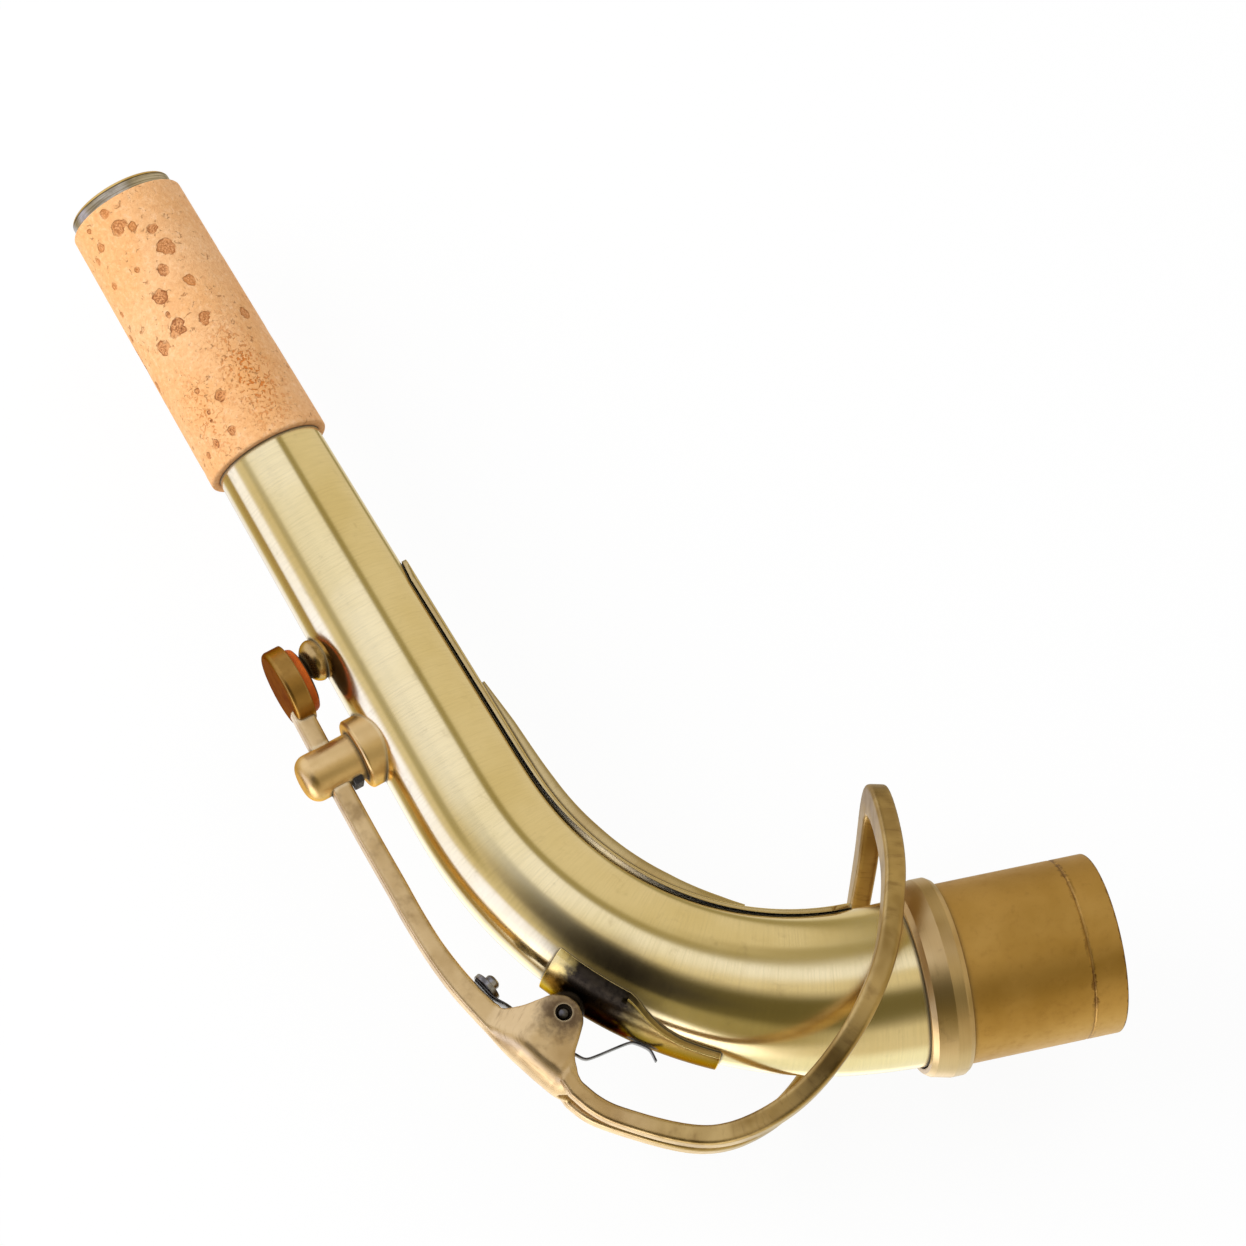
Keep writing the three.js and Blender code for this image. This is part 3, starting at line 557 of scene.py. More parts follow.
class Nodes:
    """Short way to add and join the nodes of a material or a world, with its tone so far."""

    def __init__(self, name, home="materials"):
        self.owner = getattr(bpy.data, home).new(name)
        self.owner.use_nodes = True
        self.nodes = self.owner.node_tree.nodes

    def feed(self, node, inputs):
        for key, value in inputs.items():
            socket = node.inputs[key]
            if isinstance(value, bpy.types.NodeSocket):
                self.owner.node_tree.links.new(value, socket)
            elif socket.type == "RGBA" and len(value) == 3:
                socket.default_value = linear(*value)
            else:
                socket.default_value = value

    def add(self, kind, inputs=None, output=0, **settings):
        """New node with its inputs fed; gives one of its outputs."""
        node = self.nodes.new("ShaderNode" + kind)
        for key, value in settings.items():
            setattr(node, key, value)
        self.feed(node, inputs or {})
        return node.outputs[output]

    def set(self, **values):
        values = {key.replace("_", " "): value for key, value in values.items()}
        self.feed(self.nodes["Principled BSDF"], values)

    def coordinates(self, *scale, lay=False):
        """Object coordinates in millimetres, or the lay along and round a piece."""
        source = self.add("TexCoord", output="UV" if lay else "Object")
        unit = 1 if lay else 1 / MM
        return self.add("Mapping", {"Vector": source, "Scale": [unit * value for value in scale]})

    @cached_property
    def place(self):
        return self.coordinates(1, 1, 1)

    @property
    def height(self):
        return self.add("SeparateXYZ", {"Vector": self.place}, "Z")

    def noise(self, scale, detail=4, roughness=0.55, distortion=0, where=None):
        shape = {"Scale": scale, "Detail": detail, "Roughness": roughness, "Distortion": distortion}
        return self.add("TexNoise", {"Vector": where or self.place, **shape})

    def ramp(self, value, low, high, start=0, end=1):
        ends = {"Value": value, "From Min": low, "From Max": high, "To Min": start, "To Max": end}
        return self.add("MapRange", ends, interpolation_type="SMOOTHSTEP")

    def math(self, operation, a, b=0):
        return self.add("Math", {0: a, 1: b}, operation=operation)

    def plus(self, a, b):
        return self.math("ADD", a, b)

    def minus(self, a, b):
        return self.math("SUBTRACT", a, b)

    def times(self, a, b):
        return self.math("MULTIPLY", a, b)

    def vector(self, operation, a, b):
        """Dot product or distance of two vectors."""
        return self.add("VectorMath", {0: a, 1: b}, "Value", operation=operation)

    def run_along(self, seat):
        """Millimetres from a frame along its X axis."""
        along = seat.to_3x3().col[0]
        return self.minus(self.vector("DOT_PRODUCT", self.place, along), seat.translation.dot(along))

    def away_from(self, point):
        """Millimetres from a point, seen from the side."""
        return self.vector("DISTANCE", self.coordinates(1, 0, 1), (point.x, 0, point.z))

    def mix(self, share, first, second):
        return self.add("Mix", {0: share, 6: first, 7: second}, 2, data_type="RGBA")

    def blend(self, share, first, second):
        return self.add("MixShader", {0: share, 1: first, 2: second})

    def over(self, mask, paint, share=1):
        """Lays some paint over the tone, as much as the mask says."""
        self.tone = self.mix(self.times(mask, share) if share < 1 else mask, self.tone, paint)

    def tint(self, value, low, high, paint, share=1):
        """Lays some paint over the tone as a value goes from low to high."""
        self.over(self.ramp(value, low, high, 0, share), paint)

    def corners(self, reach, start, end, share, inside=False):
        # Ambient occlusion mapped to a share: painted shade in corners, or the outer edges when inside is
        # set.
        shade = self.add("AmbientOcclusion", {"Distance": reach * MM}, "AO", samples=8, inside=inside)
        return self.ramp(shade, start, end, 0, share)

    def crevice(self, reach, share):
        """The share of painted shade deep in a corner or gap, read from ambient occlusion, and 0 in the
        open.
        """
        return self.corners(reach, 0.9, 0.5, share)

    def wear(self, reach, share):
        """Paints the outer edges bright: rubbed wear and a painted highlight along them."""
        self.over(self.corners(reach, 0.72, 0.45, share, inside=True), EDGE_WEAR_HIGHLIGHT_COLOUR)

    def soil(self, rough, reach, share=0.92):
        """Metal with dull grime and painted shade in its corners and gaps: colour, metallic and roughness.
        """
        dirt_and_shade = self.crevice(reach, share)
        # Painted shade and grime darken the corners and gaps and dull their metal.
        self.over(dirt_and_shade, SEAM_SHADE_COLOUR)
        rough = self.plus(rough, self.times(dirt_and_shade, 0.5))
        self.set(Base_Color=self.tone, Metallic=self.minus(1, dirt_and_shade), Roughness=rough)

    def metal(self, rough):
        self.set(Base_Color=self.tone, Metallic=1, Roughness=rough)

    def bump(self, height, strength, depth=0.03):
        """Relief with a depth in mm, the last step of a material; gives the material."""
        relief = {"Height": height, "Strength": strength, "Distance": depth * MM}
        self.set(Normal=self.add("Bump", relief))
        return self.owner


# Colour of the painted shade and grime in corners and gaps.
SEAM_SHADE_COLOUR = (52, 42, 30)
# Colour of the edges painted bright, as rubbed wear and a painted highlight.
EDGE_WEAR_HIGHLIGHT_COLOUR = (246, 222, 176)


def brushed_brass(name, clean, warm, dark, roughness, grime, brushed=0.0, seam=0.8, oil_and_dark_reflection=False):
    """Lacquered brass, brushed round: clouds, scratches, specks, grime and painted shade in its seams, and
    oil with a painted dark reflection about the hinge.
    """
    n = Nodes(name)
    stains = n.noise(0.35, 6, 0.65, 0.6)
    scratches = n.noise(1, 5, 0.7, where=n.coordinates(0.12, 4, 1, lay=True))
    broad = n.noise(1, 3, 0.6, where=n.coordinates(0.05, 0.9, 1, lay=True))
    n.tone = clean
    n.tint(n.noise(0.07, 3), 0.35, 0.68, warm)
    n.tint(stains, 0.56, 0.78, dark, grime)
    n.tint(n.noise(3.2, 3, 0.6), 0.7, 0.8, dark, grime)
    n.tint(scratches, 0.4, 0.75, dark, 0.096)
    if oil_and_dark_reflection:
        # Oil stain round the hinge, darkened further as a painted dark reflection on the tube.
        away = n.away_from(PIVOT_FRAME @ Vector((-OIL_REFLECTION_SHIFT, 0, 0)))
        ragged = n.plus(away, n.ramp(stains, 0.3, 0.7, -0.4, 0.4))
        n.tint(ragged, OIL_REFLECTION_REACH, OIL_REFLECTION_CORE, (78, 66, 46), 0.8)
    grain = n.ramp(scratches, 0.25, 0.75, roughness - 0.016, roughness + 0.024)
    n.soil(n.plus(grain, n.ramp(stains, 0.5, 0.8, 0, 0.1 * grime)), seam)
    if brushed:
        tangent = n.add("Tangent", direction_type="UV_MAP", uv_map="Lay")
        n.set(Anisotropic=brushed, Anisotropic_Rotation=0.25, Tangent=tangent)
    return n.bump(n.plus(scratches, n.times(broad, 0.5)), 0.048)


def patina_brass(name, clean, dark, roughness, coverage, seam=0.9, edge_brightness=0.35):
    """Antiqued brass: soft brown clouds, grime and painted shade in its corners, and edges painted bright
    as wear and a painted highlight.
    """
    n = Nodes(name)
    grain = n.noise(0.9, 5, 0.6)
    fine = n.noise(7, 4, 0.6)
    clouds = n.plus(n.times(n.noise(0.13, 3, 0.5, 0.3), 0.75), n.times(grain, 0.25))
    n.tone = clean
    n.tint(clouds, 0.62 - 0.3 * coverage, 0.92 - 0.3 * coverage, dark)
    n.tint(fine, 0.55, 0.8, dark, 0.25)
    n.wear(0.6, edge_brightness)
    n.soil(n.ramp(grain, 0.3, 0.8, roughness - 0.03, roughness + 0.08), seam)
    n.set(Specular_Tint=clean)
    return n.bump(n.plus(fine, grain), 0.08)


def saddle_material():
    """Brass of the saddle: bright at its fore edge and its tail, black with oil and patina about the hinge;
    this run from bright to black is also a painted reflection.
    """
    n = Nodes("saddle_brass")
    grain = n.noise(0.9, 5, 0.6)
    run = n.plus(n.run_along(PIVOT_FRAME), n.ramp(grain, 0.3, 0.7, -0.5, 0.5))
    # Painted reflection along the plate, with its patina: bright at the fore end and the tail, black round
    # the hinge.
    fore, tail = n.ramp(run, 1.4, 4), n.ramp(run, -6, -14)
    dark_patina_and_reflection = n.mix(n.ramp(grain, 0.4, 0.7), (50, 43, 34), (34, 29, 24))
    clean = n.mix(tail, (216, 190, 118), (172, 142, 84))
    n.tone = n.mix(n.math("MAXIMUM", fore, tail), dark_patina_and_reflection, clean)
    n.soil(n.ramp(grain, 0.3, 0.8, 0.2, 0.3), 0.9)
    n.set(Specular_Tint=(150, 130, 90))
    return n.bump(grain, 0.08)


def key_material():
    """Brass of the octave key, darker brown round its pivot and darker along its ring."""
    n = Nodes("key_brass")
    clouds = n.ramp(n.noise(0.12, 3, 0.5, 0.3), 0.42, 0.68)
    grain = n.noise(0.8, 5, 0.6)
    fine = n.noise(7, 4, 0.6)
    streak = n.noise(1, 3, 0.6, where=n.coordinates(0.3, 2.5, 0.3))
    arm = n.mix(clouds, (224, 192, 138), (196, 162, 108))
    loop = n.mix(clouds, (196, 164, 102), (158, 126, 70))
    n.tone = n.mix(n.ramp(n.height, 49, 40), arm, loop)
    n.tint(streak, 0.5, 0.75, (132, 100, 60), 0.5)
    n.tint(fine, 0.6, 0.8, (120, 90, 54), 0.2)
    ragged = n.plus(n.away_from(PIVOT_FRAME.translation), n.ramp(grain, 0.3, 0.7, -0.6, 0.6))
    n.tint(ragged, 4.6, 1.2, (84, 64, 46), 0.9)
    # Ring and arm edges painted bright: rubbed wear and a painted highlight.
    n.wear(0.8, 0.75)
    n.soil(n.ramp(grain, 0.3, 0.8, 0.34, 0.42), 0.9)
    return n.bump(n.plus(fine, grain), 0.06)


def tenon_material():
    """Turned and unlacquered tenon: brown-gold, with a stain along its groove and end."""
    n = Nodes("tenon_brass")
    mottle = n.noise(0.9, 6, 0.65)
    lines = n.noise(1, 4, 0.65, where=n.coordinates(0.04, 6, 1, lay=True))
    n.tone = (204, 160, 84)
    n.tint(n.noise(0.1, 3, 0.5, 0.3), 0.3, 0.7, (186, 142, 66))
    n.tint(mottle, 0.5, 0.8, (136, 94, 40), 0.2)
    groove = n.math("ABSOLUTE", n.plus(n.height, TENON_LENGTH - GROOVE_FROM_END))
    ragged = n.plus(groove, n.ramp(mottle, 0.35, 0.65, -0.2, 0.3))
    patches = n.ramp(n.noise(0.25, 2), 0.38, 0.6, 0.25, 0.8)
    n.over(n.times(n.ramp(ragged, 0.15, 0.5, 0.9, 0), patches), (104, 66, 32))
    end = n.plus(n.plus(n.height, TENON_LENGTH), n.ramp(mottle, 0.3, 0.7, -0.1, 0.15))
    n.tint(end, 0.35, 0.1, (96, 62, 30), 0.75)
    n.soil(n.ramp(mottle, 0.3, 0.75, 0.42, 0.52), 1.2, 0.7)
    return n.bump(n.plus(lines, mottle), 0.08, 0.04)


def cork_material():
    """Cork: fine grain, an orange speckled zone, and lenticels as pits with broken dark rims."""
    n = Nodes("cork")
    names = ("speckle", "pit", "pit_tone")
    zone, pit, kind = [n.add("Attribute", output="Fac", attribute_name=name) for name in names]
    cells = n.noise(1.3, 6, 0.7)
    fine = n.noise(4, 5, 0.75)
    n.tone = (240, 190, 138)
    n.tint(n.noise(0.1, 4, 0.6, 0.5), 0.3, 0.72, (234, 176, 116))
    n.tint(cells, 0.42, 0.72, (220, 156, 104), 0.5)
    n.tint(cells, 0.5, 0.3, (247, 208, 168), 0.5)
    n.tint(fine, 0.52, 0.72, (206, 140, 90), 0.45)
    specks = n.times(n.ramp(n.noise(2.1, 2, 0.5, 0.6), 0.53, 0.62), zone)
    flecks = n.ramp(n.noise(1, 4, 0.7, 0.8), 0.62, 0.66)
    n.over(zone, (232, 158, 82), 0.35)
    n.over(specks, (204, 112, 36), 0.85)
    n.over(flecks, (172, 112, 64), 0.7)
    bent = n.ramp(n.noise(0.55, 2, 0.5, 0.2), 0.3, 0.7, -0.3, 0.3)
    ragged = n.plus(n.plus(pit, bent), n.ramp(cells, 0.3, 0.7, -0.1, 0.1))
    inside = n.ramp(ragged, 0.5, 0.62)
    rim = n.times(inside, n.ramp(ragged, 0.9, 0.66))
    rim = n.times(rim, n.ramp(n.noise(0.9, 2, 0.5), 0.42, 0.54, 0.1, 1))
    core = n.times(n.ramp(ragged, 0.7, 0.9), n.ramp(fine, 0.45, 0.54))
    dark = n.mix(kind, (190, 118, 58), (128, 66, 34))
    n.over(inside, (206, 134, 78), 0.55)
    n.over(rim, dark, 0.85)
    n.over(core, dark, 0.8)
    # Painted shade in the cork's corners and gaps, where it meets the tube.
    n.over(n.crevice(0.9, 0.6), (160, 88, 34))
    height = n.times(cells, 0.8)
    for part, depth in ((inside, 0.9), (specks, 0.8), (flecks, 0.5)):
        height = n.minus(height, n.times(part, depth))
    n.set(Base_Color=n.tone, Roughness=0.86, Specular_IOR_Level=0.2)
    return n.bump(n.plus(height, n.times(fine, 0.35)), 0.8, 0.22)


def tip_material():
    """Greyed brass of the tip ring, with its lip rubbed golden."""
    n = Nodes("tip_brass")
    grain = n.noise(0.9, 5, 0.6)
    lines = n.noise(1, 4, 0.6, where=n.coordinates(0.15, 5, 1, lay=True))
    run = n.run_along(frame_at(NECK_LENGTH + TIP_RING_LENGTH))
    n.tone = (206, 194, 170)
    n.tint(lines, 0.35, 0.65, (150, 134, 106))
    n.tint(grain, 0.5, 0.8, (110, 94, 70), 0.5)
    n.tint(run, -0.62, -0.5, (92, 76, 50))
    n.tint(run, -0.46, -0.38, (226, 186, 104))
    n.metal(n.ramp(grain, 0.3, 0.8, 0.28, 0.38))
    return n.bump(lines, 0.1)


def pad_material():
    """Orange leather, its face towards the tube painted dark brown: browned where it closes on the pip, and
    painted shade under the cup.
    """
    n = Nodes("pad_leather")
    pores = n.noise(4, 5, 0.7)
    outward = frame_at(PAD_STATION).to_3x3().col[1]
    facing = n.vector("DOT_PRODUCT", n.add("NewGeometry", output="Normal"), outward)
    n.tone = (206, 98, 18)
    n.tint(n.noise(0.5, 3), 0.3, 0.7, (184, 82, 12))
    n.tint(pores, 0.55, 0.8, (120, 48, 16), 0.5)
    # Painted shade and contact browning on the face towards the tube.
    n.tint(facing, -0.6, -0.9, (70, 48, 28))
    n.set(Base_Color=n.tone, Roughness=n.ramp(pores, 0.3, 0.7, 0.55, 0.7), Specular_IOR_Level=0.25)
    return n.bump(pores, 0.3, 0.06)


def felt_material():
    n = Nodes("black_felt")
    fibres = n.noise(3, 6, 0.8, 1.5, n.coordinates(1, 4, 2))
    tone = n.mix(n.ramp(fibres, 0.3, 0.7), (14, 13, 12), (52, 48, 44))
    n.set(Base_Color=tone, Roughness=0.95, Sheen_Weight=0.4)
    return n.bump(n.plus(fibres, n.noise(1.2, 3)), 0.6, 0.1)


def steel_material(name, light, dark, roughness):
    """Blued steel with fine scratches and a little rust."""
    n = Nodes(name)
    scratches = n.noise(1.6, 5, 0.7, where=n.coordinates(1, 9, 1))
    n.tone = light
    n.tint(n.noise(0.7, 4), 0.3, 0.7, dark)
    n.tint(scratches, 0.62, 0.8, (96, 72, 52), 0.4)
    n.metal(n.ramp(scratches, 0.3, 0.8, roughness, roughness + 0.15))
    return n.bump(scratches, 0.1)


TUBE_BRASS = brushed_brass(
    "tube_brass", (243, 222, 168), (235, 212, 152), (120, 92, 48), 0.18, 0.18, brushed=0.75, oil_and_dark_reflection=True
)
COLLAR_BRASS = brushed_brass(
    "collar_brass", (208, 178, 124), (190, 156, 100), (116, 84, 48), 0.33, 0.35, brushed=0.3
)
BRACE_BRASS = brushed_brass(
    "brace_brass", (206, 182, 126), (190, 162, 106), (110, 84, 48), 0.26, 0.3, seam=0.6
)
KEY_BRASS = key_material()
CUP_BRASS = patina_brass("cup_brass", (166, 124, 60), (120, 84, 36), 0.32, 0.6, 0.8, 0.6)
GUIDE_BRASS = patina_brass("guide_brass", (228, 192, 130), (196, 154, 94), 0.36, 0.4, 1, 0.6)
DARK_BRASS = patina_brass("patina_brass", (200, 166, 108), (116, 88, 54), 0.26, 0.6)
SADDLE_BRASS = saddle_material()
TIP_BRASS = tip_material()
# Lighter brass on bevelled rims: rubbed edges and a painted highlight.
RIM_WEAR_HIGHLIGHT_BRASS = patina_brass("rim_wear_highlight_brass", (238, 212, 140), (206, 172, 98), 0.24, 0.3)
TENON_BRASS = tenon_material()
CORK = cork_material()
PAD = pad_material()
FELT = felt_material()
STEEL = steel_material("dark_steel", (104, 100, 98), (56, 52, 50), 0.26)
SCREW_STEEL = steel_material("screw_steel", (170, 166, 162), (96, 90, 84), 0.24)


# Tube, tenon and collar


def neck_tube():
    stations = stations_between(TENON_INSERTION + GAP, NECK_LENGTH + TIP_RING_REBATE)
    outside = [circle_at(station, tube_radius(station)) for station in stations]
    inside = [circle_at(station, tube_radius(station) - TUBE_WALL) for station in reversed(stations)]
    return loft("neck_tube_smooth", outside + inside, wrap=True)


def tenon_sleeve():
    inner = TENON_RADIUS - TENON_WALL
    groove = GROOVE_FROM_END - TENON_LENGTH
    profile = [
        (inner, -TENON_LENGTH), (TENON_RADIUS - GROOVE_DEPTH, -TENON_LENGTH),
        (TENON_RADIUS, GROOVE_DEPTH - TENON_LENGTH), (TENON_RADIUS, groove - GROOVE_WIDTH / 2),
        (TENON_RADIUS - GROOVE_DEPTH, groove), (TENON_RADIUS, groove + GROOVE_WIDTH / 2),
        (TENON_RADIUS, TENON_INSERTION), (inner, TENON_INSERTION),
    ]
    return turned("tenon_turned", profile, UPRIGHT, AROUND_TENON, True, 0.1)


def tenon_collar():
    low_bore = TENON_RADIUS + OVERLAP
    high_bore = tube_radius(TENON_INSERTION) + OVERLAP
    step = TENON_INSERTION + GAP
    profile = [
        (low_bore, 0), (TENON_RADIUS + GAP + COLLAR_SEAT_WIDTH, 0),
        (COLLAR_RADIUS, COLLAR_LOW_BEVEL), (COLLAR_RADIUS, COLLAR_CREST_HEIGHT),
        (COLLAR_SLOPE_RADIUS, COLLAR_SLOPE_HEIGHT),
        (high_bore + GAP + COLLAR_SEAT_WIDTH, COLLAR_HEIGHT), (high_bore, COLLAR_HEIGHT),
        (high_bore, step), (low_bore, step),
    ]
    return turned("collar_turned", profile, UPRIGHT, AROUND_TENON, True, 0.08)


# Cork and tip


# Lenticels on the photographed side: millimetres along, degrees round, radius and darkness
SEEN_LENTICELS = [
    (39.3, 300, 0.6, 0.3), (36.6, 294, 1.1, 0.6), (35.6, 283, 0.8, 0.2), (34.0, 268, 0.9, 0.6),
    (36.0, 322, 0.7, 0.3), (39.0, 325, 0.4, 0.4), (30.6, 266, 1.1, 0.5), (28.0, 279, 0.9, 0.7),
    (24.8, 262, 1.0, 0.1), (25.0, 295, 1.1, 0.8), (22.0, 296, 0.5, 0.9), (19.8, 295, 1.2, 0.9),
    (19.2, 268, 1.1, 0.5), (17.8, 226, 0.9, 0.1), (18.6, 318, 1.1, 0.7), (35.0, 336, 0.5, 0.2),
    (10.8, 308, 0.4, 0.6), (8.4, 291, 0.8, 0.8), (7.4, 309, 0.45, 1.0), (6.2, 311, 0.3, 1.0),
    (3.4, 319, 0.7, 0.8), (3.2, 298, 0.7, 0.6), (30.6, 332, 0.6, 0.2), (30.0, 300, 0.35, 0.4),
    (27.0, 346, 0.5, 0.2), (14.2, 235, 0.3, 0.6), (2.8, 334, 0.45, 0.5),
]
HIDDEN_LENTICELS = 30


def lenticels():
    """The seen marks, with seeded ones round the side that the photograph hides."""
    chance = random.Random(7)
    marks = list(SEEN_LENTICELS)
    for _ in range(HIDDEN_LENTICELS):
        along = chance.uniform(0.04, 0.96) * CORK_LENGTH
        size = chance.uniform(0.35, 1.15)
        marks.append((along, chance.uniform(-5, 195), size, chance.random()))
    return marks


def speckle_at(run, degrees):
    """How speckled the cork is: most along one patch near its foot, a little all over."""
    patch = math.exp(-(((run - 9) / 7) ** 2) - ((degrees - 258) / 20) ** 2)
    second = math.exp(-(((run - 7) / 6) ** 2) - ((degrees - 312) / 16) ** 2)
    return min(1.0, 0.12 + patch + 0.6 * second)


def cork_radius(run):
    edge = min(1.0, min(run, CORK_LENGTH - run) / CORK_EDGE)
    round_off = CORK_EDGE * (1 - math.sqrt(max(0.0, 1 - (1 - edge) ** 2)))
    share = run / CORK_LENGTH
    return CORK_FOOT_RADIUS + (CORK_TIP_RADIUS - CORK_FOOT_RADIUS) * share - round_off


def neck_cork():
    start = NECK_LENGTH - CORK_LENGTH
    edge_runs = [CORK_EDGE * share for share in (0, 0.12, 0.3, 0.6, 1)]
    middle = stations_between(CORK_EDGE, CORK_LENGTH - CORK_EDGE, CORK_STEP)[1:-1]
    marks = lenticels()
    rings = []
    layers = {"pit": [], "pit_tone": [], "speckle": []}
    for run in edge_runs + middle + [CORK_LENGTH - run for run in reversed(edge_runs)]:
        ring = []
        for phi in circle(AROUND_CORK):
            radius = cork_radius(run)
            pit = tone = 0.0
            for along, degrees, size, dark in marks:
                turn = math.remainder(phi - math.radians(degrees), math.tau) * radius
                # 1.5 at the heart of a pit and 0.6 at its edge
                depth = 1.5 - 0.9 * (math.hypot(run - along, turn * 1.1) / size)
                if depth > pit:
                    pit, tone = depth, dark
            radius -= PIT_DEPTH * min(1.0, pit)
            ring.append(point_at(start + run, math.cos(phi) * radius, math.sin(phi) * radius))
            for layer, value in zip(layers.values(), (pit, tone, speckle_at(run, math.degrees(phi)))):
                layer.append(value)
        rings.append(ring)
    for run in (CORK_LENGTH, 0):
        rings.append(circle_at(start + run, tube_radius(start + run) + OVERLAP, AROUND_CORK))
    piece = loft("cork_sleeve", rings, wrap=True)
    for name, values in layers.items():
        layer = piece.data.attributes.new(name, "FLOAT", "POINT")
        layer.data.foreach_set("value", values + [0.0] * (2 * AROUND_CORK))
    return piece


def tip_ring():
    bore = tube_radius(NECK_LENGTH) - TUBE_WALL
    rebate = tube_radius(NECK_LENGTH) + OVERLAP
    low = NECK_LENGTH + OVERLAP
    step = NECK_LENGTH + TIP_RING_REBATE + GAP
    high = NECK_LENGTH + TIP_RING_LENGTH
    outline = [
        (rebate, low), (TIP_RING_RADIUS, low), (TIP_RING_RADIUS, high - TIP_RING_EDGE),
        (TIP_RING_RADIUS - TIP_RING_EDGE, high), (bore, high), (bore, step), (rebate, step),
    ]
    rings = [circle_at(station, radius) for radius, station in eased(outline, 0.2, True)]
    return loft("tip_ring_turned", rings, wrap=True)


# Pip, guide, saddle and hinge


def octave_pip():
    wall = tube_radius(PIP_STATION)
    bottom = wall - TUBE_WALL - PIP_STEM_DEPTH
    foot = wall - TUBE_WALL * 0.9
    profile = [
        (PIP_VENT_RADIUS, bottom), (PIP_STEM_RADIUS, bottom), (PIP_STEM_RADIUS, foot),
        (PIP_BASE_RADIUS - 0.2, foot), (PIP_BASE_RADIUS - 0.1, wall + 0.1),
    ]
    dome_end = math.radians(72)
    for angle in evenly(20, dome_end):
        rise = (PIP_HEIGHT - PIP_SKIRT) * math.sin(angle) / math.sin(dome_end)
        profile.append((PIP_BASE_RADIUS * math.cos(angle), wall + PIP_SKIRT + rise))
    profile += [(PIP_TOP_RADIUS / 2, PIP_TOP), (PIP_VENT_RADIUS, PIP_TOP)]
    return turned("octave_pip_turned", profile, frame_at(PIP_STATION), closed=True)


def guide_base():
    wall = tube_radius(GUIDE_STATION)
    profile = button(GUIDE_FOOT_RADIUS, wall - GUIDE_FOOT_RADIUS**2 / wall, GUIDE_TOP, GUIDE_FLOOR / 2)
    piece = turned("guide_foot", profile, frame_at(GUIDE_STATION), ease=0.2)
    reach = GUIDE_FOOT_RADIUS + OVERRUN
    stations = stations_between(GUIDE_STATION - reach, GUIDE_STATION + reach)
    rings = [circle_at(station, tube_radius(station) - OVERLAP, AROUND_SMALL) for station in stations]
    return cut(piece, loft("tube_tool", rings))


def key_guide():
    low = GUIDE_TOP + GAP
    high = low + GUIDE_POST_HEIGHT
    profile = [(0, GUIDE_TOP - OVERLAP), (GUIDE_POST_RADIUS, GUIDE_TOP - OVERLAP)]
    for angle in evenly(12, math.pi / 2):
        radius = GUIDE_POST_RADIUS - GUIDE_DOME + GUIDE_DOME * math.cos(angle)
        profile.append((radius, high - GUIDE_DOME + GUIDE_DOME * math.sin(angle)))
    profile.append((0, high))
    matrix = frame_at(GUIDE_STATION)
    piece = turned("guide_fork", profile, matrix, ease=0.1)
    cut_slot(piece, GUIDE_POST_RADIUS, low + GUIDE_FLOOR, high, GUIDE_SLOT, matrix)
    return bevel(piece, GUIDE_EDGE)


def guide_felt():
    low = GUIDE_TOP + GUIDE_FLOOR + GAP
    half = FELT_LENGTH / 2
    outline = box(-half - FELT_SHIFT, low, half - FELT_SHIFT, low + GAP + FELT_THICKNESS)
    return bevel(prism("felt_pad", outline, FELT_WIDTH, frame_at(GUIDE_STATION)), FELT_EDGE)


def saddle_plate():
    shoulder = (SADDLE_FORE - SADDLE_SHOULDER) / (SADDLE_FORE - SADDLE_AFT)
    tail = SADDLE_TAIL_HALF_WIDTH / SADDLE_HALF_WIDTH
    draw_in = [(0, 1), (0.1, 0.86), (0.25, 0.58), (0.42, 0.3), (0.62, 0.1), (0.85, 0.02), (1, 0)]
    widths = [(0, 1)]
    for run, left in draw_in:
        widths.append((shoulder + (1 - shoulder) * run, tail + (1 - tail) * left))
    low, high = [(0, OVERLAP)], [(0, SADDLE_THICKNESS + GAP)]
    piece = strip("saddle_formed", SADDLE_FORE, SADDLE_AFT, 1, low, high, SADDLE_HALF_WIDTH, widths)
    return bevel(piece, SADDLE_EDGE, rim=True)


def hinge_post():
    rise = PIVOT_HEIGHT - SADDLE_THICKNESS - GAP / 2
    top = [(POST_RADIUS * math.cos(angle), POST_RADIUS * math.sin(angle)) for angle in evenly(24, math.pi)]
    outline = [(POST_FOOT, -rise), *top, (-POST_FOOT, -rise)]
    piece = prism("hinge_post_turned", outline, POST_WIDTH, PIVOT_FRAME)
    cut(piece, pivot_rod(PIVOT_RADIUS + OVERLAP, -POST_WIDTH, POST_WIDTH))
    return bevel(piece, POST_EDGE)


def pivot_screw():
    """Screw whose near end is a rounded point with a slot."""
    half = YOKE_WIDTH / 2 - SCREW_RECESS
    profile = [(0, -half), (PIVOT_RADIUS * 0.6, -half), (PIVOT_RADIUS, 0.3 - half)]
    for angle in evenly(8, math.pi / 2):
        profile.append((PIVOT_RADIUS * math.cos(angle), half - PIVOT_POINT + PIVOT_POINT * math.sin(angle)))
    piece = turned("pivot_screw_turned", profile, PIVOT_LINE, 40, ease=0.05)
    return cut_slot(piece, PIVOT_RADIUS, half - SLOT_DEPTH, half, SLOT_WIDTH, PIVOT_LINE)


# Octave key


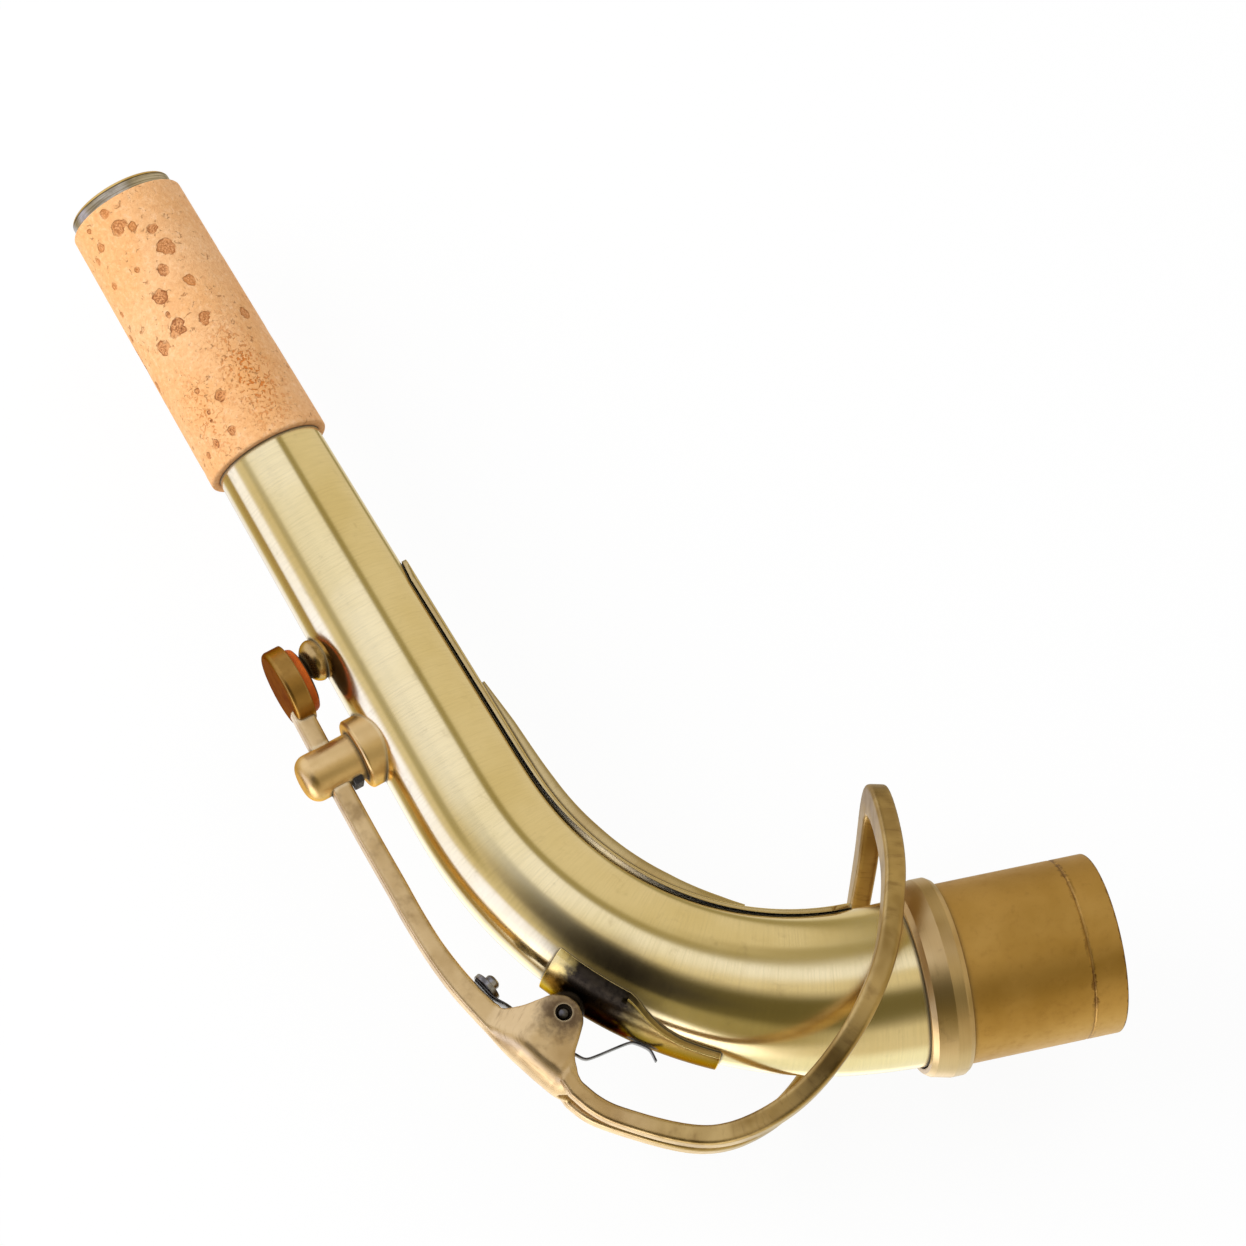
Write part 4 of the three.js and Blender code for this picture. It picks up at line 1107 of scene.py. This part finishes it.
# Sections of the yoke from its fore end to its aft end, in shares: place along it, half width,
# lower edge, shoulder and crown
YOKE_SECTIONS = [
    (0, 0.34, 0.33, 0.69, 0.755),
    (0.06, 0.39, 0.36, 0.66, 0.79),
    (0.14, 0.55, 0.28, 0.6, 0.835),
    (0.22, 0.73, 0.17, 0.58, 0.875),
    (0.29, 0.89, 0.04, 0.59, 0.905),
    (0.38, 0.98, -0.15, 0.625, 0.94),
    (0.43, 1, -0.2, 0.64, 0.955),
    (0.51, 1, -0.259, 0.675, 0.985),
    (0.61, 1, -0.248, 0.7, 1.02),
    (0.7, 1, -0.15, 0.72, 1.045),
    (0.75, 1, -0.04, 0.73, 1.06),
    (0.77, 1, 0.06, 0.74, 1.066),
    (0.8, 1, 0.25, 0.75, 1.072),
    (0.83, 0.99, 0.45, 0.79, 1.078),
    (0.87, 0.98, 0.555, 0.85, 1.075),
    (0.91, 0.97, 0.625, 0.89, 1.06),
    (0.95, 0.96, 0.705, 0.93, 1.03),
    (1, 0.96, 0.765, 0.96, 0.99),
]


def yoke_section(place):
    """Section of the yoke at a place in its list: straight sides with an arched top."""
    run, wide, *heights = (glide(column, place) for column in zip(*YOKE_SECTIONS))
    low, shoulder, crown = (YOKE_CROWN * height for height in heights)
    half = YOKE_WIDTH / 2 * wide
    outline = [(-half, low)]
    for angle in evenly(28, math.pi):
        outline.append((-half * math.cos(angle), shoulder + (crown - shoulder) * math.sin(angle)))
    outline.append((half, low))
    along = YOKE_FORE - (YOKE_FORE + YOKE_AFT) * run
    return [PIVOT_FRAME @ Vector((along, height, side)) for side, height in outline]


def yoke_blank():
    """Yoke hollowed between its ears, before the arm and the ring are joined to it."""
    last = len(YOKE_SECTIONS) - 1
    blank = loft("yoke_blank", [yoke_section(place) for place in evenly(last * 4, last)])
    below = -EAR_DROP - OVERRUN
    behind = -YOKE_AFT - OVERRUN
    roof = [(0.75, 0.26), (0.6, 0.4), (0.42, 0.58), (0.12, 0.73)]
    outline = [
        (YOKE_FORE * 0.75, below), *((YOKE_FORE * run, YOKE_CROWN * rise) for run, rise in roof),
        (behind, YOKE_CROWN * 0.93), (behind, below),
    ]
    channel = prism("channel", outline, EAR_GAP, PIVOT_FRAME)
    reach, half = YOKE_CROTCH + OVERRUN, EAR_GAP * 0.36
    oval = [(behind + reach * math.cos(angle), half * math.sin(angle)) for angle in circle(48)]
    rings = [[PIVOT_FRAME @ Vector((x, y, z)) for x, z in oval] for y in (0, 2 * YOKE_CROWN)]
    return cut(blank, channel, loft("crotch", rings))


def arm_path():
    start = PIVOT_STATION + YOKE_FORE
    cup = PAD_STATION - CUP_RADIUS
    points = [PIVOT_FRAME @ Vector((YOKE_FORE, YOKE_CROWN * 0.542, 0))]
    runs = [0.054, 0.158, 0.262, 0.366, 0.521, 0.729, 0.936, 1.05]
    heights = [1.337, 1.234, 1.122, 1.034, 1.008, 1, 0.975, 0.965]
    points += [above_tube(start, cup, run, ARM_HEIGHT * height) for run, height in zip(runs, heights)]
    return Path(points)


def arm_thickness_at(share):
    root_share = 0.25
    return ARM_THICKNESS + (ARM_ROOT_THICKNESS - ARM_THICKNESS) * max(0.0, 1 - share / root_share)


def arm_blank():
    path = arm_path()
    steps = 90
    rings = []
    for i in range(-1, steps + 1):
        share = max(0, i) / steps
        centre = path.at(share) if i >= 0 else path.at(0) - path.tangent(0.01) * 3
        thick = path.tangent(max(share, 0.01)).cross(SIDEWAYS)
        rings.append(bar_section(centre, thick, arm_thickness_at(share) / 2, SIDEWAYS, ARM_WIDTH / 2))
    return loft("arm_blank", rings)


def ring_path():
    """Out of one root, round the tube and back into the other, its near side set further out."""
    runs = [0, -0.077, -0.142, -0.311, -0.272, -0.097, 0.18, 0.528, 0.792, 1]
    drops = [0, 0.039, 0.093, 0.323, 0.51, 0.68, 0.822, 0.92, 0.973, 1]
    widths = [0.186, 0.174, 0.168, 0.24, 0.587, 0.898, 1, 0.85, 0.485, 0]
    settle = [(0, 0), (0.09, 1), (0.32, 1), (0.7, 0.4), (1, 0.4)]
    root = PIVOT_FRAME @ Vector((-YOKE_AFT, RING_ROOT_HEIGHT, 0))
    half = [
        Vector((root.x + RING_REACH * run, -RING_HALF_WIDTH * width, root.z - RING_DROP * drop))
        for run, drop, width in zip(runs, drops, widths)
    ]
    mirrored = [Vector((point.x, -point.y, point.z)) for point in reversed(half[:-1])]
    aside = Vector((RING_DROP, 0, RING_REACH)).normalized() * RING_SKEW_SHARE
    points = half + mirrored
    depths = [min(1.0, (root.z - point.z) / RING_DROP) for point in points]
    skewed = zip(points, depths)
    return Path([point + aside * point.y * read_shares(settle, depth) for point, depth in skewed])


def ring_blank():
    path = ring_path()
    steps = 220
    apex_share, low, high = 0.44, 0.005, 0.995
    inward = PIVOT_FRAME.to_3x3() @ Vector((0, -RING_BURIED_DEPTH, 0))
    rings = []
    for i in range(-1, steps + 2):
        share = min(max(i / steps, 0.0), 1.0)
        centre = path.at(share)
        tangent = path.tangent(min(max(share, low), high))
        if not 0 <= i <= steps:
            centre = centre + tangent * math.copysign(RING_BURIED_LENGTH, i) + inward
        mirrored = 1 - share if share > 0.5 else share
        side_view = path.tangent(min(max(mirrored, low), apex_share))
        axial = Vector((side_view.z, 0, -side_view.x)).normalized()
        radial = tangent.cross(axial).normalized()
        loop_share = min(1.0, mirrored / apex_share)
        half_radial = (RING_RADIAL_ROOT + (RING_RADIAL_LOOP - RING_RADIAL_ROOT) * loop_share) / 2
        root_share = max(0.0, 1 - 3 * loop_share)
        half_axial = (RING_AXIAL_LOOP + (RING_AXIAL_ROOT - RING_AXIAL_LOOP) * root_share) / 2
        rings.append(bar_section(centre, axial, half_axial, radial, half_radial))
    return loft("ring_blank", rings)


def octave_key():
    """Yoke, arm and ring brazed into one smooth body, with the screw's recess cut last."""
    body = yoke_blank()
    blanks = [body, arm_blank(), ring_blank()]
    join = {"object": body, "active_object": body, "selected_editable_objects": blanks}
    with bpy.context.temp_override(**join):
        bpy.ops.object.join()
    modify(body, "REMESH", mode="VOXEL", voxel_size=KEY_VOXEL)
    modify(body, "SMOOTH", factor=0.5, iterations=7)
    half = YOKE_WIDTH / 2
    bore = pivot_rod(PIVOT_RADIUS + OVERLAP, -half - OVERRUN, half + OVERRUN)
    recess = pivot_rod(RECESS_RADIUS, half - RECESS_DEPTH, half + OVERRUN)
    body.name = "octave_key_body"
    return cut(body, bore, recess)


def pad_cup():
    front = PIP_TOP + GAP + PAD_THICKNESS - CUP_RECESS + GAP
    back = front + CUP_THICKNESS
    floor = front + CUP_RECESS
    recess = PAD_RADIUS + GAP / 2
    profile = [
        (0, floor), (recess, floor), (recess, front), (CUP_RADIUS, front), (CUP_RADIUS, back - CUP_EDGE),
        (CUP_RADIUS - CUP_EDGE / 3, back - CUP_EDGE / 3), (CUP_RADIUS - CUP_EDGE, back), (0, back),
    ]
    return turned("pad_cup_turned", profile, frame_at(PAD_STATION), AROUND, ease=0.18)


def octave_pad():
    low = PIP_TOP + GAP
    high = low + PAD_THICKNESS + GAP
    crown = [(0.45, 0.02), (0.8, 0.12), (0.95, 0.4), (1, 0.9)]
    profile = [(0, low), *((PAD_RADIUS * share, low + rise) for share, rise in crown)]
    profile += [(PAD_RADIUS, high), (0, high)]
    return turned("octave_pad_crowned", profile, frame_at(PAD_STATION), ease=0.2)


# Spring and its screw


def spring_screw_seat():
    """Where the spring's screw enters the arm: a frame whose Y axis points at the tube."""
    path = arm_path()
    share = SPRING_SCREW_INSET / path.length
    along = path.tangent(share)
    inward = SIDEWAYS.cross(along)
    return placed(path.at(share) + inward * arm_thickness_at(share) / 2, along, inward, -SIDEWAYS)


def leaf_spring():
    """From under its screw past the pivot and onto the saddle, where its end curls up."""
    seat = spring_screw_seat()
    half = SPRING_THICKNESS / 2
    rest = SADDLE_THICKNESS + 2 * GAP + half
    kinks = [(1.2, 0.83), (0.45, 1), (-0.7, 1.16), (-1, 1.12)]
    points = [seat @ Vector((run, GAP + half, 0)) for run in (SPRING_TAIL, 0, -SPRING_TAIL)]
    points += [PIVOT_FRAME @ Vector((SPRING_KINK * x, SPRING_RISE * y, 0)) for x, y in kinks]
    for share, rise in ((0.45, 0), (0.57, 0), (0.63, SPRING_CURL)):
        points.append(above_tube(PIVOT_STATION, SADDLE_AFT, share, rest + rise))
    stops = [points[0]]
    for before, here, after in zip(points, points[1:], points[2:]):
        stops.append(here + (before - here).normalized() * SPRING_BEND)
        stops.append(here + (after - here).normalized() * SPRING_BEND)
    path = Path([*stops, points[-1]])
    widths = [(0, 1), (0.17, 1), (0.26, 0), (1, 0)]
    rings = []
    for share in evenly(160, 1):
        width = SPRING_WIDTH + (SPRING_HEAD_WIDTH - SPRING_WIDTH) * read_shares(widths, share)
        thick = path.tangent(share).cross(SIDEWAYS)
        rings.append(bar_section(path.at(share), thick, half, SIDEWAYS, width / 2, SPRING_EDGE))
    return loft("leaf_spring_formed", rings)


def spring_washer():
    low = SPRING_THICKNESS + GAP
    profile = box(0, low, WASHER_RADIUS, SPRING_THICKNESS + 2 * GAP + WASHER_THICKNESS)
    return turned("spring_washer_pressed", profile, spring_screw_seat())


def spring_screw():
    low = SPRING_THICKNESS + WASHER_THICKNESS + 2 * GAP
    high = low + GAP + SCREW_HEAD_HEIGHT
    seat = spring_screw_seat()
    profile = button(SCREW_HEAD_RADIUS, low, high, SCREW_HEAD_EDGE)
    piece = turned("spring_screw_turned", profile, seat)
    return cut_slot(piece, SCREW_HEAD_RADIUS, high - SLOT_DEPTH, high, SLOT_WIDTH, seat)


# Brace


def brace_plate():
    widths = [(0, 0.3), (0.012, 0.7), (0.035, 1), (0.965, 1), (0.988, 0.7), (1, 0.3)]
    low = [(0, 0.2), (0.3, 0.35), (0.55, 0.6), (0.8, 0.35), (1, 0.2)]
    high = [(0, BRACE_THICKNESS + GAP + OVERLAP)]
    piece = strip("brace_formed", BRACE_FORE, BRACE_AFT, -1, low, high, BRACE_HALF_WIDTH, widths)
    return bevel(piece, BRACE_EDGE, 2, rim=True)


def brace_rib():
    widths = [(0, 0.35), (0.15, 0.8), (0.35, 1), (0.65, 1), (0.85, 0.8), (1, 0.35)]
    swell = [(0, 0.2), (0.12, 0.62), (0.3, 0.92), (0.5, 1), (0.75, 0.85), (0.92, 0.5), (1, 0.2)]
    base = BRACE_THICKNESS + 2 * GAP
    low = [(0, base - GAP)]
    high = [(share, base + RIB_HEIGHT * rise) for share, rise in swell]
    piece = strip("brace_rib_formed", RIB_FORE, RIB_AFT, -1, low, high, RIB_HALF_WIDTH, widths)
    return bevel(piece, RIB_EDGE)


# Studio


# Linear colours of the room, as the brass reflects them
ROOM = (0.74, 0.69, 0.56)
OLIVE = (0.14, 0.12, 0.045)
LIGHT_OLIVE = (0.34, 0.3, 0.15)
TAUPE = (0.4, 0.36, 0.31)
SHADE = (0.18, 0.16, 0.13)
GOLD = (0.6, 0.52, 0.3)
AMBER = (0.33, 0.23, 0.08)
DARK = (0.02, 0.018, 0.022)
CREAM = (1.0, 1.06, 1.3)
YELLOW = (1.02, 1.08, 1.05)
BRIGHT = (1.7, 1.7, 1.65)
WHITE = (1.2, 1.35, 2.2)
GLARE = (2.6, 2.7, 3.2)

# Softboxes and dark cards round the neck, each over the ones before it: degrees round the
# camera's line (0 right, 90 down), degrees away from it, inner and outer radius, colour
STUDIO = [
    (80, 130, 20, 44, YELLOW),
    (85, 24, 16, 38, OLIVE),
    (100, 58, 8, 26, LIGHT_OLIVE),
    (243, 70, 49, 56, CREAM),
    (316, 96, 56, 60, LIGHT_OLIVE),
    (316, 96, 43, 49, ROOM),
    (271, 68, 5, 14, LIGHT_OLIVE),
    (45, 24, 6, 20, OLIVE),
    (163, 114, 16, 32, GOLD),
    (141, 106, 14, 30, AMBER),
    (176, 54, 4, 10, LIGHT_OLIVE),
    (168, 94, 9, 15, WHITE),
    (155, 82, 11, 17, WHITE),
    (145, 72, 11, 18, WHITE),
    (136, 132, 4, 12, CREAM),
    (148, 150, 8, 20, CREAM),
    (123, 147, 8, 20, BRIGHT),
    (100, 149, 8, 18, BRIGHT),
    (160, 30, 5, 14, TAUPE),
    (203, 14, 4, 11, SHADE),
    (165, 17, 8, 15, DARK),
    (142, 25, 11, 18, DARK),
    (132, 38, 9, 16, DARK),
    (122, 54, 10, 18, LIGHT_OLIVE),
    (118, 92, 16, 28, GLARE),
]
PURE_WHITE = (1, 1, 1, 1)
BACKDROP_PLACE = 19.2
BACKDROP_REACH = 900

# Lamps, in metres: the point that they face, and how far they stand from it
LAMP_TARGET = Vector((0.055, 0, 0.035))
LAMP_DISTANCE = 0.7


def studio_direction(round_degrees, away_degrees):
    turn, away = math.radians(round_degrees), math.radians(away_degrees)
    across = CAMERA_RIGHT * math.cos(turn) - CAMERA_UP * math.sin(turn)
    return (across * math.sin(away) - CAMERA_VIEW * math.cos(away)).normalized()


def build_world():
    """White to the camera, even light on the piece, and the studio in its reflections."""
    n = Nodes("studio", "worlds")
    bpy.context.scene.world = n.owner
    direction = n.add("TexCoord", output="Generated")
    n.tone = (*ROOM, 1)
    for turn, away, inner, outer, card in STUDIO:
        near = n.vector("DOT_PRODUCT", direction, studio_direction(turn, away))
        n.tint(near, math.cos(math.radians(outer)), math.cos(math.radians(inner)), (*card, 1))
    even, room, white = [
        n.add("Background", {"Color": picture, "Strength": strength})
        for picture, strength in ((PURE_WHITE, 0.55), (n.tone, 1), (PURE_WHITE, 1))
    ]
    glossy, clear, camera = [
        n.add("LightPath", output=f"Is {kind} Ray") for kind in ("Glossy", "Transmission", "Camera")
    ]
    lit = n.blend(n.math("MAXIMUM", glossy, clear), even, room)
    n.feed(n.nodes["World Output"], {"Surface": n.blend(camera, lit, white)})


def build_backdrop():
    """Pale surface that the neck lies on, just behind it as the photograph looks."""
    corners = box(-BACKDROP_REACH, -BACKDROP_REACH, BACKDROP_REACH, BACKDROP_REACH)
    plane = new_piece("pale_floor", [(x, BACKDROP_PLACE, z) for x, z in corners], [(0, 1, 2, 3)])
    plane.data.transform(Matrix.Scale(MM, 4))
    plane.visible_glossy = False
    n = Nodes("pale_floor")
    n.set(Base_Color=(0.93, 0.93, 0.93, 1), Roughness=0.9)
    pale = n.nodes["Principled BSDF"].outputs[0]
    glow = n.add("Emission", {"Color": PURE_WHITE, "Strength": 1})
    front = n.blend(n.times(n.add("LightPath", output="Is Camera Ray"), 0.94), pale, glow)
    back = n.blend(n.add("NewGeometry", output="Backfacing"), front, n.add("BsdfTransparent"))
    n.feed(n.nodes["Material Output"], {"Surface": back})
    plane.data.materials.append(n.owner)


def add_lamp(name, turn, away, size, power):
    """Softbox at a direction from the neck, for the light on the matte pieces."""
    direction = studio_direction(turn, away)
    lamp = bpy.data.lights.new(name, "AREA")
    lamp.size = size
    lamp.energy = power
    holder = new_object(name, lamp)
    holder.location = LAMP_TARGET + direction * LAMP_DISTANCE
    holder.rotation_euler = direction.to_track_quat("Z", "Y").to_euler()
    holder.visible_glossy = False


def build_camera():
    camera = bpy.data.cameras.new("camera")
    camera.lens = CAMERA_LENS
    camera.sensor_width = CAMERA_SENSOR
    camera.sensor_fit = "HORIZONTAL"
    camera.clip_start = 0.01
    camera.clip_end = 20
    holder = new_object("camera", camera)
    holder.matrix_world = placed(CAMERA_PLACE, CAMERA_RIGHT, CAMERA_UP, -CAMERA_VIEW)
    bpy.context.scene.camera = holder


build_camera()
build_world()
build_backdrop()
add_lamp("key_lamp", 200, 55, 0.5, 4.0)
add_lamp("fill_lamp", 300, 60, 0.6, 1.2)
bpy.context.scene.view_settings.view_transform = "Standard"

# Each piece with its body, material slot, material, sharpest smooth angle in degrees and the
# CAD nodes that it replaces, where they aren't the one with its name
PIECES = [
    (neck_tube, NECK, "tube_brass", TUBE_BRASS, 32),
    (tenon_sleeve, NECK, "tenon_brass", TENON_BRASS, 32),
    (tenon_collar, NECK, "collar_brass", COLLAR_BRASS, 11),
    (neck_cork, NECK, "cork", CORK, 32),
    (tip_ring, NECK, "collar_brass", TIP_BRASS, 32),
    (octave_pip, NECK, "patina_brass", DARK_BRASS, 32),
    (guide_base, NECK, "collar_brass", GUIDE_BRASS, 32),
    (key_guide, NECK, "collar_brass", GUIDE_BRASS, 40),
    (guide_felt, NECK, "felt", FELT, 32),
    (saddle_plate, NECK, "patina_brass", SADDLE_BRASS, 40),
    (hinge_post, NECK, "patina_brass", DARK_BRASS, 40),
    (pivot_screw, KEY, "dark_steel", STEEL, 32),
    (octave_key, KEY, "key_brass", KEY_BRASS, 60, "key_yoke", "key_arm", "octave_ring"),
    (pad_cup, KEY, "key_brass", CUP_BRASS, 32),
    (octave_pad, KEY, "pad_leather", PAD, 50),
    (leaf_spring, KEY, "dark_steel", STEEL, 32),
    (spring_washer, KEY, "dark_steel", SCREW_STEEL, 32),
    (spring_screw, KEY, "dark_steel", SCREW_STEEL, 32),
    (brace_plate, NECK, "tube_brass", BRACE_BRASS, 40),
    (brace_rib, NECK, "collar_brass", BRACE_BRASS, 40),
]
for make, body, slot, material, sharp, *nodes in PIECES:
    finish_piece(make(), body, material, sharp, nodes or [make.__name__])
